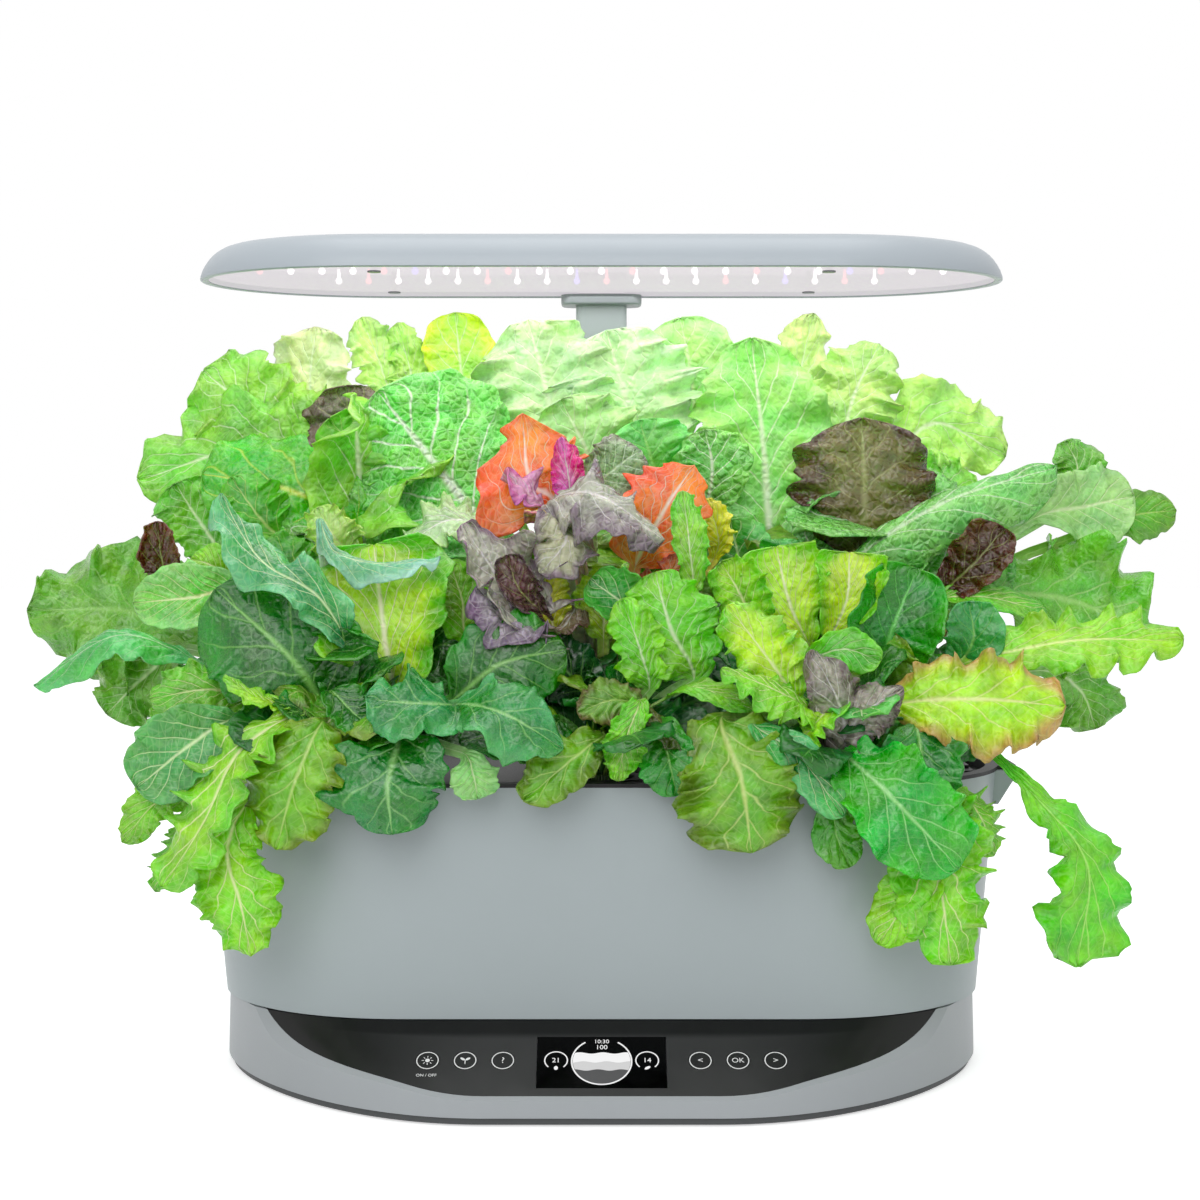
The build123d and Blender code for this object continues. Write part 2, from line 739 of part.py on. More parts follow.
def guide_collar(top, outer, thickness, inner):
    """A slide guide: a sleeve pressed into a tube's mouth, with a lip on top of it."""
    with BuildPart() as collar:
        with BuildSketch(Plane.XY.offset(top)):
            with Locations((0, mast_y)):
                RectangleRounded(*outer, mast_corner)
        extrude(amount=guide_lip)
        with BuildSketch(Plane.XY.offset(top)):
            with Locations((0, mast_y)):
                RectangleRounded(outer[0] - 2 * thickness, outer[1] - 2 * thickness, mast_corner - 1)
        extrude(amount=-guide_height)
        chamfer(collar.edges().group_by(Axis.Z)[-1], 0.8)
        with BuildSketch(Plane.XY.offset(top + guide_lip)):
            with Locations((0, mast_y)):
                RectangleRounded(
                    inner[0] + 2 * slide_clearance, inner[1] + 2 * slide_clearance, mast_corner
                )
        extrude(amount=-(guide_lip + guide_height), mode=Mode.SUBTRACT)
    return collar.part


flange_bottom = back_ceiling - flange_thickness
with BuildPart() as mast_column:
    add(mast_tube(flange_bottom, column_top, column_size, column_wall))
    with BuildSketch(Plane.XY.offset(flange_bottom)):
        with Locations((0, mast_y)):
            RectangleRounded(*flange_size, mast_corner)
        with Locations(*column_screw_places):
            Circle(2.1, mode=Mode.SUBTRACT)
    extrude(amount=flange_thickness)
save(mast_column, "mast_column")

with BuildPart() as column_screws:
    with BuildSketch(Plane.XY.offset(flange_bottom)):
        with Locations(*column_screw_places):
            Circle(3.5)
    extrude(amount=-2.4)
    with BuildSketch(Plane.XY.offset(flange_bottom)):
        with Locations(*column_screw_places):
            Circle(1.5)
    extrude(amount=flange_thickness + 1.4)
save(column_screws, "column_screws")

with BuildPart() as column_guide:
    add(guide_collar(column_top, column_size, column_wall, middle_size))
save(column_guide, "column_guide")

stage_floor = flange_bottom + flange_thickness + 0.5
with BuildPart() as mast_middle:
    add(mast_tube(stage_floor, middle_top, middle_size, middle_wall))
    # Slider shoe round the lower end
    with BuildSketch(Plane.XY.offset(stage_floor)):
        with Locations((0, mast_y)):
            shoe = (column_size[0] - 2 * column_wall - 0.4, column_size[1] - 2 * column_wall - 0.4)
            RectangleRounded(*shoe, mast_corner - 1)
            RectangleRounded(middle_size[0] - 2, middle_size[1] - 2, mast_corner - 1, mode=Mode.SUBTRACT)
    extrude(amount=guide_height)
save(mast_middle, "mast_middle")

with BuildPart() as middle_guide:
    add(guide_collar(middle_top, middle_size, middle_wall, upper_size))
save(middle_guide, "middle_guide")

collar_bottom = hood_bottom - collar_height
with BuildPart() as mast_upper:
    add(mast_tube(stage_floor + 4, hood_bottom - 2, upper_size, upper_wall))
    with BuildSketch(Plane.XY.offset(stage_floor + 4)):
        with Locations((0, mast_y)):
            shoe = (middle_size[0] - 2 * middle_wall - 0.4, middle_size[1] - 2 * middle_wall - 0.4)
            RectangleRounded(*shoe, mast_corner - 1)
            RectangleRounded(upper_size[0] - 2, upper_size[1] - 2, mast_corner - 1, mode=Mode.SUBTRACT)
    extrude(amount=guide_height)
save(mast_upper, "mast_upper")

# ---------------------------------------------------------------- lamp
collar_y = hood_back - collar_size[1] / 2 + 0.5
with BuildPart() as hood_bracket:
    with BuildSketch(Plane.XY.offset(collar_bottom)):
        with Locations((0, collar_y)):
            RectangleRounded(*collar_size, 8)
    extrude(amount=collar_height)
    fillet(hood_bracket.edges().group_by(Axis.Z)[0], 1.5)
    with BuildSketch(Plane.XY.offset(hood_bottom - 2)):
        with Locations((0, mast_y)):
            RectangleRounded(upper_size[0] + 0.1, upper_size[1] + 0.1, mast_corner)
    extrude(amount=-collar_height, mode=Mode.SUBTRACT)
    # Tongue up into the hood and plug down into the mast
    with BuildSketch(Plane.XY.offset(hood_bottom - 1)):
        with Locations((0, mast_y - 2)):
            RectangleRounded(*tongue_size, 2)
    extrude(amount=tongue_height + 1)
    with BuildSketch(Plane.XY.offset(hood_bottom - 1.5)):
        with Locations((0, mast_y)):
            plug = (upper_size[0] - 2 * upper_wall - 0.1, upper_size[1] - 2 * upper_wall - 0.1)
            RectangleRounded(*plug, mast_corner - 1)
    extrude(amount=-16)
save(hood_bracket, "hood_bracket")

board_bottom = hood_bottom + led_board_height
board_top = board_bottom + led_board_thickness
lens_top = hood_bottom + lens_recess + lens_thickness
hood_screw_places = [(x, y) for x in (-120.0, 120.0) for y in (-28.0, 76.0)]
with BuildPart() as hood_shell:
    with BuildSketch(Plane.XY.offset(hood_bottom)):
        with BuildLine():
            hood_outline(0)
        make_face()
    extrude(amount=hood_height)
    fillet(hood_shell.edges().group_by(Axis.Z)[-1], hood_edge_radius)
    with BuildSketch(Plane.XY.offset(hood_bottom)):
        with BuildLine():
            hood_outline(lens_inset - 0.2)
        make_face()
    extrude(amount=lens_top - hood_bottom, mode=Mode.SUBTRACT)
    with BuildSketch(Plane.XY.offset(lens_top)):
        with BuildLine():
            hood_outline(lens_inset + lens_ledge)
        make_face()
    extrude(amount=hood_height - hood_wall - (lens_top - hood_bottom), mode=Mode.SUBTRACT)
    # Posts that carry the board and take the lens screws
    with BuildSketch(Plane.XY.offset(hood_top - hood_wall)):
        with Locations(*hood_screw_places):
            Circle(5)
    extrude(amount=-(hood_top - hood_wall - board_top))
    with BuildSketch(Plane.XY.offset(board_top)):
        with Locations(*hood_screw_places):
            Circle(1.5)
    extrude(amount=4, mode=Mode.SUBTRACT)
save(hood_shell, "hood_shell")

with BuildPart() as led_board:
    with BuildSketch(Plane.XY.offset(board_bottom)):
        with BuildLine():
            hood_outline(9)
        make_face()
        with Locations((0, mast_y)):
            Rectangle(tongue_size[0] + 6, tongue_size[1] + 16, mode=Mode.SUBTRACT)
        with Locations(*hood_screw_places):
            Circle(1.8, mode=Mode.SUBTRACT)
    extrude(amount=led_board_thickness)
save(led_board, "led_board")

led_places = {"white": [], "red": [], "violet": []}
for row, row_y in enumerate(led_rows):
    for step in range(-led_half_counts[row], led_half_counts[row] + 1):
        led_x = step * led_pitch + (row - 1) * 3.0
        colour = "white"
        if (step + row) % 4 == 2:
            colour = "red"
        elif (step + 2 * row) % 7 == 3:
            colour = "violet"
        led_places[colour].append((led_x, row_y))
for colour, places in led_places.items():
    with BuildPart() as leds:
        with BuildSketch(Plane.XY.offset(board_bottom)):
            with Locations(*places):
                Rectangle(led_size[0], led_size[1])
        extrude(amount=-led_size[2])
    save(leds, f"leds_{colour}")

with BuildPart() as hood_lens:
    with BuildSketch(Plane.XY.offset(hood_bottom + lens_recess)):
        with BuildLine():
            hood_outline(lens_inset)
        make_face()
        with Locations((0, mast_y)):
            Rectangle(tongue_size[0] + 3, tongue_size[1] + 8, mode=Mode.SUBTRACT)
        with Locations(*hood_screw_places):
            Circle(2.2, mode=Mode.SUBTRACT)
    extrude(amount=lens_thickness)
save(hood_lens, "hood_lens")

with BuildPart() as hood_screws:
    with BuildSketch(Plane.XY.offset(hood_bottom + lens_recess)):
        with Locations(*hood_screw_places):
            Circle(3.6)
    extrude(amount=-0.8)
    with BuildSketch(Plane.XY.offset(hood_bottom + lens_recess)):
        with Locations(*hood_screw_places):
            Circle(1.4)
    extrude(amount=board_top + 3.5 - hood_bottom - lens_recess)
save(hood_screws, "hood_screws")

# ---------------------------------------------------------------- plants
def leaf(root, tip, arch, width):
    """One leaf: a strip arched between its root and its tip, trimmed to a pointed oval."""
    chord = Vector(tip) - Vector(root)
    across = chord.cross(Vector(0, 0, 1)).normalized()
    outward = across.cross(chord).normalized()
    length = chord.length
    with BuildPart() as blade:
        with BuildSketch(Plane(origin=root, x_dir=chord, z_dir=across)):
            with BuildLine():
                ThreePointArc((0, 0), (length / 2, arch), (length, 0))
                Line((length, 0), (length, -leaf_thickness))
                ThreePointArc(
                    (length, -leaf_thickness), (length / 2, arch - leaf_thickness), (0, -leaf_thickness)
                )
                Line((0, -leaf_thickness), (0, 0))
            make_face()
        extrude(amount=width / 2, both=True)
        with BuildSketch(Plane(origin=root, x_dir=chord, z_dir=outward)):
            with BuildLine():
                for side in (-1, 1):
                    Bezier(
                        (0, side * crown_radius / 2),
                        (0.35 * length, side * 0.75 * width),
                        (0.95 * length, side * 0.6 * width),
                        (length, 0),
                    )
                Line((0, -crown_radius / 2), (0, crown_radius / 2))
            make_face()
        extrude(amount=arch + 2 * leaf_thickness, both=True, mode=Mode.INTERSECT)
    return blade.part


# Tips of each plant's main leaves, with the height of the arch and the blade's width
plant_leaves = (
    # front left, front middle, front right
    [((-178, -128, 84), 62, 44), ((-236, -96, 150), 38, 58), ((-150, -150, 128), 40, 56),
     ((-200, -125, 245), 16, 60), ((-110, -110, 250), 18, 60), ((-82, -140, 190), 30, 50)],
    [((-38, -140, 190), 32, 52), ((30, -150, 150), 40, 50), ((-20, -80, 290), 14, 60),
     ((40, -84, 270), 14, 54), ((4, -120, 236), 20, 44)],
    [((110, -150, 120), 46, 56), ((176, -132, 116), 52, 60), ((250, -120, 74), 70, 46),
     ((190, -112, 215), 24, 56), ((120, -90, 265), 16, 56), ((236, -114, 240), 22, 50)],
    # middle left, centre, middle right
    [((-318, -20, 236), 44, 74), ((-290, -46, 205), 36, 44), ((-215, -14, 330), 22, 70),
     ((-150, 4, 362), 12, 46), ((-90, -20, 340), 12, 44)],
    [((-38, -18, 328), 12, 42), ((38, -2, 346), 13, 44), ((7, -33, 298), 9, 34), ((-16, 12, 350), 8, 34)],
    [((318, -20, 236), 44, 74), ((285, -44, 200), 40, 50), ((226, -10, 330), 22, 70),
     ((150, 4, 366), 12, 46), ((92, -20, 330), 12, 44)],
    # back left, back middle, back right
    [((-250, 126, 300), 28, 62), ((-160, 80, 402), 12, 50), ((-92, 60, 404), 12, 40),
     ((-150, 165, 250), 44, 70), ((-230, 140, 240), 44, 60)],
    [((-50, 58, 400), 10, 46), ((46, 56, 412), 10, 50), ((-6, 60, 380), 8, 50)],
    [((254, 126, 308), 28, 62), ((160, 80, 404), 12, 50), ((96, 60, 408), 12, 44),
     ((150, 165, 250), 44, 70), ((230, 140, 240), 44, 60)],
)
for number, ((pod_x, pod_y), leaves) in enumerate(zip(pod_places, plant_leaves), start=1):
    with BuildPart() as plant:
        with BuildSketch(Plane.XY.offset(crown_base)):
            with Locations((pod_x, pod_y)):
                Circle(0.7 * crown_radius)
        with BuildSketch(Plane.XY.offset(crown_base + crown_height)):
            with Locations((pod_x, pod_y)):
                Circle(crown_radius)
        loft()
        for tip, arch, width in leaves:
            add(leaf((pod_x, pod_y, crown_base + crown_height - 6), tip, arch, width))
    save(plant, f"plant_{number}")
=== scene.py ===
import math
import random

import bpy
from mathutils import Matrix, Vector, noise


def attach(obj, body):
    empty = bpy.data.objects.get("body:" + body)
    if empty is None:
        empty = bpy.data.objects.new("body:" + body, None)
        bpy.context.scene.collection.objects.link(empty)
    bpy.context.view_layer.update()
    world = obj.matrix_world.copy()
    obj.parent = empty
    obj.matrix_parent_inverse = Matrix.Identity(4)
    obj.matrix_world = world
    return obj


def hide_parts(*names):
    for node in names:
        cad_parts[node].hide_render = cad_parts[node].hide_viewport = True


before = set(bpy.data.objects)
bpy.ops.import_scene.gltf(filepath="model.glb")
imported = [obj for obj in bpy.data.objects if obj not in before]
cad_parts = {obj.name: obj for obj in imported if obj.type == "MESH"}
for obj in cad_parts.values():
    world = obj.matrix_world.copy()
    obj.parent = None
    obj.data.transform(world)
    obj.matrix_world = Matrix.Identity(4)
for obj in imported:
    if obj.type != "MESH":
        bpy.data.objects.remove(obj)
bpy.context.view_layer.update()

mm = 0.001

# ---------------------------------------------------------------------------------------------
# Bottom pan: dark charcoal ABS tray that closes the housing from below and shows as a thin skirt.
# It stands on four rubber feet and is held by screws from underneath.


def paint(red, green, blue):
    """A colour written as 0 to 255 on screen, as the shaders want it."""
    channels = [value / 255 for value in (red, green, blue)]
    return [c / 12.92 if c <= 0.04045 else ((c + 0.055) / 1.055) ** 2.4 for c in channels] + [1.0]


def scaled(colour, factor):
    """The same colour, lighter or darker."""
    return [min(1.0, channel * factor) for channel in colour[:3]] + [1.0]


def new_finish(name, roughness, **constants):
    """A material with its node tree's nodes, links and shader, and the shader's constant sockets set."""
    material = bpy.data.materials.new(name)
    material.use_nodes = True
    nodes, links = material.node_tree.nodes, material.node_tree.links
    shader = nodes["Principled BSDF"]
    shader.inputs["Roughness"].default_value = roughness
    for socket, value in constants.items():
        shader.inputs[socket.replace("_", " ")].default_value = value
    return material, nodes, links, shader


def object_noise(nodes, links, scale, detail=2.0, roughness=0.5):
    """Noise fixed to the piece, of so many waves per metre."""
    place = nodes.new("ShaderNodeTexCoord")
    pattern = nodes.new("ShaderNodeTexNoise")
    pattern.inputs["Scale"].default_value = scale
    pattern.inputs["Detail"].default_value = detail
    pattern.inputs["Roughness"].default_value = roughness
    links.new(place.outputs["Object"], pattern.inputs["Vector"])
    return pattern.outputs["Fac"]


def ramp(nodes, links, value, low, high, at_low, at_high, curve="SMOOTHSTEP"):
    """Map a value from low..high to at_low..at_high."""
    mapping = nodes.new("ShaderNodeMapRange")
    mapping.interpolation_type = curve
    for socket, level in zip(("From Min", "From Max", "To Min", "To Max"), (low, high, at_low, at_high)):
        if isinstance(level, (int, float)):
            mapping.inputs[socket].default_value = level
        else:
            links.new(level, mapping.inputs[socket])
    links.new(value, mapping.inputs["Value"])
    return mapping.outputs["Result"]


def blend(nodes, links, factor, first, second):
    """Mix two colours by a factor."""
    mix = nodes.new("ShaderNodeMix")
    mix.data_type = "RGBA"
    links.new(factor, mix.inputs["Factor"])
    for socket, colour in (("A", first), ("B", second)):
        target = [s for s in mix.inputs if s.name == socket and s.type == "RGBA"][0]
        if isinstance(colour, (list, tuple)):
            target.default_value = colour
        else:
            links.new(colour, target)
    return [s for s in mix.outputs if s.type == "RGBA"][0]


def vary(nodes, links, shader, pattern, first, second, socket="Base Color"):
    """Let a pattern vary the base or emission colour between two colours."""
    links.new(blend(nodes, links, pattern, first, second), shader.inputs[socket])


def vary_gloss(nodes, links, shader, pattern, smooth, rough):
    """Let a pattern vary the roughness from smooth to rough."""
    links.new(ramp(nodes, links, pattern, 0.3, 0.7, smooth, rough), shader.inputs["Roughness"])


def press_in(nodes, links, shader, height, distance, strength):
    """Bump from a height."""
    bump = nodes.new("ShaderNodeBump")
    bump.inputs["Distance"].default_value = distance
    bump.inputs["Strength"].default_value = strength
    links.new(height, bump.inputs["Height"])
    links.new(bump.outputs["Normal"], shader.inputs["Normal"])


def moulded(name, colour, roughness, grain=1400.0, depth=0.00003, **constants):
    """Injection-moulded plastic: an even colour with the faintest clouding and a spark-eroded grain."""
    material, nodes, links, shader = new_finish(name, roughness, **constants)
    cloud = object_noise(nodes, links, 9.0, 3.0)
    vary(nodes, links, shader, cloud, scaled(colour, 0.96), scaled(colour, 1.04))
    texture = object_noise(nodes, links, grain)
    vary_gloss(nodes, links, shader, texture, roughness - 0.04, roughness + 0.05)
    press_in(nodes, links, shader, texture, depth, 0.6)
    return material


def dress(material, *names):
    """Give CAD nodes a material."""
    for name in names:
        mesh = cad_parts[name].data
        mesh.materials.clear()
        mesh.materials.append(material)


dress(moulded("charcoal_pan", paint(72, 74, 75), 0.5), "base_pan")
dress(moulded("foot_rubber", paint(24, 24, 25), 0.85, grain=2600), "rubber_feet")


def plated(name, colour, roughness):
    """Plated or brushed steel for screws, with fine turning marks."""
    material, nodes, links, shader = new_finish(name, roughness, Metallic=1.0)
    marks = object_noise(nodes, links, 3000.0)
    vary(nodes, links, shader, marks, scaled(colour, 0.8), colour)
    press_in(nodes, links, shader, marks, 0.00002, 0.4)
    return material


screw_steel = plated("screw_steel", paint(178, 180, 184), 0.32)
dress(screw_steel, "base_screws", "column_screws")

# ---------------------------------------------------------------------------------------------
# Base housing: blue-grey satin ABS shell with the sloping control recess moulded into its front.
# It carries the mast column at the back and the seat that the bowl drops into.

dress(moulded("grey_plastic_base", paint(164, 168, 171), 0.42), "base_shell")

# ---------------------------------------------------------------------------------------------
# Control fascia: thin gloss-black polycarbonate plate bonded on the slope, lighter in its middle by a painted
# sheen, and darkened by painted shade along its upper edge under the bowl.
# The printed icons are white ink on its surface.


def maths(nodes, links, operation, *values):
    """The result of a calculation with numbers or sockets."""
    node = nodes.new("ShaderNodeMath")
    node.operation = operation
    for index, value in enumerate(values):
        if isinstance(value, (int, float)):
            node.inputs[index].default_value = value
        else:
            links.new(value, node.inputs[index])
    return node.outputs[0]


# Painted sheen: the plate keeps its lighter middle colour within the first distance from the middle and has
# its dark end colour beyond the second.
sheen_fade_from, sheen_fade_to = 0.05, 0.15        # metres from the middle
# Painted shade: between these heights the plate darkens towards its upper edge under the bowl.
bowl_shade_from, bowl_shade_to = 0.034, 0.037          # metres above the counter


def sheen_and_shade_gloss(name, middle, ends, roughness):
    """Black gloss plate: a painted sheen makes it lighter in its middle than at its ends, and painted shade
    darkens its upper edge.
    """
    material, nodes, links, shader = new_finish(
        name, roughness, Specular_IOR_Level=0.25, Coat_Weight=0.12, Coat_Roughness=0.12
    )
    place = nodes.new("ShaderNodeTexCoord")
    axes = nodes.new("ShaderNodeSeparateXYZ")
    links.new(place.outputs["Object"], axes.inputs["Vector"])
    away = maths(nodes, links, "ABSOLUTE", axes.outputs["X"])
    # Painted sheen fades away from the middle; painted shade darkens the upper edge under the bowl.
    sheen_falloff = ramp(nodes, links, away, sheen_fade_from, sheen_fade_to, 0.0, 1.0)
    under_bowl_shade = ramp(nodes, links, axes.outputs["Z"], bowl_shade_from, bowl_shade_to, 0.0, 1.0)
    vary(nodes, links, shader, maths(nodes, links, "MAXIMUM", sheen_falloff, under_bowl_shade), middle, ends)
    haze = object_noise(nodes, links, 60.0, 4.0)
    vary_gloss(nodes, links, shader, haze, roughness - 0.05, roughness + 0.06)
    return material


# The fascia's colour carries the painted sheen and the painted shade under the bowl.
dress(sheen_and_shade_gloss("fascia_black", paint(54, 54, 54), paint(10, 10, 10), 0.36), "control_fascia")

panel_slope = math.radians(32.0)
panel_top = Vector((0, -91.2 * mm, 41.0 * mm))
panel_matrix = Matrix.Translation(panel_top) @ Matrix.Rotation(panel_slope, 4, "X")
print_thickness = 0.06         # millimetres
button_row = 26.6              # millimetres down the slope from the panel's top edge
display_row = 27.7


def select_only(piece):
    """Deselect everything and make this piece the active one."""
    bpy.ops.object.select_all(action="DESELECT")
    piece.select_set(True)
    bpy.context.view_layer.objects.active = piece


def add(name, primitive, **settings):
    """Add a primitive with nothing else selected, and name it."""
    bpy.ops.object.select_all(action="DESELECT")
    primitive(**settings)
    piece = bpy.context.active_object
    piece.name = name
    return piece


def on_slope(piece, x, drop, lift):
    """Lay a flat piece, drawn in millimetres on the XY plane, on the sloping panel."""
    place = Matrix.Translation(Vector((x, -drop, lift)) * mm)
    piece.data.transform(piece.matrix_world)
    piece.data.transform(panel_matrix @ place @ Matrix.Scale(mm, 4))
    piece.matrix_world = Matrix.Identity(4)


def thicken(piece, thickness):
    """Give a sheet its thickness, half of it to each side."""
    select_only(piece)
    shell = piece.modifiers.new("thickness", "SOLIDIFY")
    shell.thickness = thickness
    shell.offset = 0.0
    bpy.ops.object.modifier_apply(modifier=shell.name)


def arc_band(name, radius, width, start=0.0, sweep=360.0, steps=64):
    """A flat ring, or part of one, in millimetres: one short edge spun about the middle."""
    band = add(name, bpy.ops.mesh.primitive_plane_add, size=width, location=(radius, 0, 0))
    bpy.ops.object.transform_apply(location=True)
    turn = Matrix.Rotation(math.radians(start), 4, "Z")
    for vertex in band.data.vertices:
        vertex.co.y = 0.0
    band.data.transform(turn)
    bpy.ops.object.mode_set(mode="EDIT")
    bpy.ops.mesh.select_all(action="SELECT")
    bpy.ops.mesh.remove_doubles(threshold=0.0001)
    bpy.ops.mesh.delete(type="ONLY_FACE")
    bpy.ops.mesh.select_all(action="SELECT")
    bpy.ops.mesh.spin(steps=steps, angle=math.radians(sweep), center=(0, 0, 0), axis=(0, 0, 1))
    bpy.ops.mesh.select_all(action="SELECT")
    bpy.ops.mesh.remove_doubles(threshold=0.0001)
    bpy.ops.mesh.normals_make_consistent(inside=False)
    bpy.ops.object.mode_set(mode="OBJECT")
    thicken(band, print_thickness)
    return band


capital_height = 0.7           # share of the type size


def lettering(name, text, height):
    """Plain characters, in millimetres, as a thin solid."""
    piece = add(name, bpy.ops.object.text_add)
    piece.data.body = text
    piece.data.size = height / capital_height
    piece.data.align_x = "CENTER"
    piece.data.align_y = "CENTER"
    piece.data.extrude = print_thickness / 2
    piece.data.resolution_u = 4
    bpy.ops.object.convert(target="MESH")
    return bpy.context.active_object


def disc(name, radius, x=0.0, y=0.0, sides=32, scale=(1.0, 1.0), turn=0.0):
    """A flat filled oval, in millimetres."""
    piece = add(name, bpy.ops.mesh.primitive_circle_add, vertices=sides, radius=radius, fill_type="NGON")
    piece.data.transform(
        Matrix.Translation((x, y, 0)) @ Matrix.Rotation(math.radians(turn), 4, "Z")
        @ Matrix.Diagonal((scale[0], scale[1], 1, 1))
    )
    thicken(piece, print_thickness)
    return piece


def join(name, pieces):
    """Make several meshes one piece."""
    bpy.ops.object.select_all(action="DESELECT")
    for piece in pieces:
        piece.select_set(True)
    bpy.context.view_layer.objects.active = pieces[0]
    if len(pieces) > 1:
        bpy.ops.object.join()
    whole = bpy.context.active_object
    whole.name = name
    whole.data.name = name
    return whole


def white_ink(name, glow):
    """Screen-printed white ink, slightly uneven in cover, with a faint painted glow."""
    material, nodes, links, shader = new_finish(name, 0.5)
    cover = object_noise(nodes, links, 2200.0)
    vary(nodes, links, shader, cover, paint(206, 207, 206), paint(240, 240, 238))
    # Painted glow: the ink gives off a little light of its own.
    shader.inputs["Emission Color"].default_value = paint(235, 235, 235)
    shader.inputs["Emission Strength"].default_value = glow
    return material


ink = white_ink("white_ink", 0.12)
switch_words = lettering("light_switch_words", "ON / OFF", 1.7)
on_slope(switch_words, -86.0, button_row + 9.6, 0.03)
switch_words.data.materials.append(ink)
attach(switch_words, "base")

# ---------------------------------------------------------------------------------------------
# Display: black glass window flush with the fascia over a small screen. Its round gauge shows the
# water in the bowl as three bands of waves; the two small rings count days. All marks are generic.

display_glass, nodes, links, shader = new_finish("display_glass", 0.2, Specular_IOR_Level=0.08)
smear = object_noise(nodes, links, 90.0, 4.0)
vary(nodes, links, shader, smear, paint(1, 1, 1), paint(3, 3, 4))
vary_gloss(nodes, links, shader, smear, 0.1, 0.2)
dress(display_glass, "display_window")


def lit_pixels(name, colour, strength):
    """Lit pixels of the screen, with the pixel rows just visible."""
    material, nodes, links, shader = new_finish(name, 0.5)
    rows = object_noise(nodes, links, 3000.0, 1.0)
    shader.inputs["Base Color"].default_value = paint(8, 8, 8)
    vary(nodes, links, shader, rows, scaled(colour, 0.93), colour, "Emission Color")
    shader.inputs["Emission Strength"].default_value = strength
    return material


gauge_radius = 14.8
gauge_centre = 0.5             # above the middle of the window
wave_height, wave_bend = 0.45, 0.55


def wave_band(name, top, bottom, phase):
    """One band of water in the gauge, wavy above and below and ending at the ring."""
    band = add(name, bpy.ops.mesh.primitive_grid_add, x_subdivisions=48, y_subdivisions=1, size=2)
    reach = gauge_radius - 0.5
    for vertex in band.data.vertices:
        x = vertex.co.x * reach * 0.995
        chord = math.sqrt(reach * reach - x * x)
        edge, turn = (top, phase[0]) if vertex.co.y > 0 else (bottom, phase[1])
        y = edge + wave_height * math.sin(x * wave_bend + turn) if edge > -reach else -chord
        vertex.co = (x, max(-chord, min(chord, y)), 0)
    thicken(band, print_thickness)
    return band


white_pixels = lit_pixels("pixels_white", paint(250, 250, 250), 0.95)
light_pixels = lit_pixels("pixels_light_grey", paint(214, 214, 214), 0.95)
dark_pixels = lit_pixels("pixels_dark_grey", paint(76, 76, 77), 0.95)
bands = (
    ("water_band_white", white_pixels, 5.4, -0.4, (1.2, 0.2)),
    ("water_band_light", light_pixels, -0.4, -5.6, (0.2, 2.6)),
    ("water_band_dark", dark_pixels, -5.6, -20.0, (2.6, 0.0)),
)
for band_name, pixels, top, bottom, phase in bands:
    band = wave_band(band_name, top, bottom, phase)
    band.data.materials.append(pixels)
    on_slope(band, 0, display_row - gauge_centre, 0.04)
    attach(band, "base")

screen_marks = [arc_band("gauge_ring", gauge_radius, 0.75, 57, 294)]
for words, height, rise in (("10:30", 2.4, 12.9), ("100", 2.8, 9.1)):
    line = lettering("screen_words", words, height)
    line.data.transform(Matrix.Translation((0, rise, 0)))
    screen_marks.append(line)
for side, count in ((-1, "21"), (1, "14")):
    ring = arc_band("day_ring", 5.6, 0.6, 228, 276, 40)
    number = lettering("day_count", count, 2.9)
    for mark in (ring, number):
        mark.data.transform(Matrix.Translation((side * 22.5, 0.6, 0)))
    screen_marks += [ring, number]
screen_marks.append(disc("drop_mark", 1.25, -22.5, -4.3, scale=(0.8, 1.0)))
screen_marks.append(disc("leaf_mark", 1.6, 22.6, -4.2, scale=(1.0, 0.5), turn=32))
screen_print = join("screen_marks", screen_marks)
screen_print.data.materials.append(white_pixels)
on_slope(screen_print, 0, display_row - gauge_centre, 0.06)
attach(screen_print, "base")

# ---------------------------------------------------------------------------------------------
# Buttons: six round caps of the same black gloss as the fascia, each pressed by 0.6 mm on its own
# key switch. A white ring and one plain icon are printed on each cap.

# The caps take the same painted sheen, lighter towards the middle of the panel.
cap_black = sheen_and_shade_gloss("button_black", paint(40, 40, 40), paint(24, 24, 24), 0.34)
button_first, button_pitch = 48.8, 18.6


def sun_icon():
    """Sun with eight rays."""
    parts = [disc("sun", 1.15)]
    for ray in range(8):
        x, y = 2.3 * math.cos(math.radians(45.0 * ray)), 2.3 * math.sin(math.radians(45.0 * ray))
        parts.append(disc("ray", 0.62, x, y, 12, (1.0, 0.32), 45.0 * ray))
    return parts


def seedling_icon():
    """Two seed leaves on a stem."""
    leaves = [disc("seed_leaf", 1.35, side * 1.3, 1.0, 20, (1.0, 0.5), side * 35) for side in (-1, 1)]
    return leaves + [disc("stem", 1.5, 0.0, -1.0, 12, (0.16, 1.0))]


icons = {
    "light": sun_icon,
    "quick_plant": seedling_icon,
    "tips": lambda: [lettering("icon", "?", 3.6)],
    "left": lambda: [lettering("icon", "<", 3.4)],
    "ok": lambda: [lettering("icon", "OK", 3.0)],
    "right": lambda: [lettering("icon", ">", 3.4)],
}
button_places = sorted(side * (button_first + step * button_pitch) for side in (-1, 1) for step in range(3))
for (button_name, draw), x in zip(icons.items(), button_places):
    dress(cap_black, f"button_{button_name}")
    mark = join(f"button_mark_{button_name}", draw() + [arc_band("ring", 5.3, 0.5, steps=48)])
    mark.data.materials.append(ink)
    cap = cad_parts[f"button_{button_name}"].data
    top_of_cap = max((panel_matrix.inverted() @ vertex.co).z for vertex in cap.vertices)
    on_slope(mark, x, button_row, top_of_cap / mm + 0.02)
    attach(mark, f"button_{button_name}")

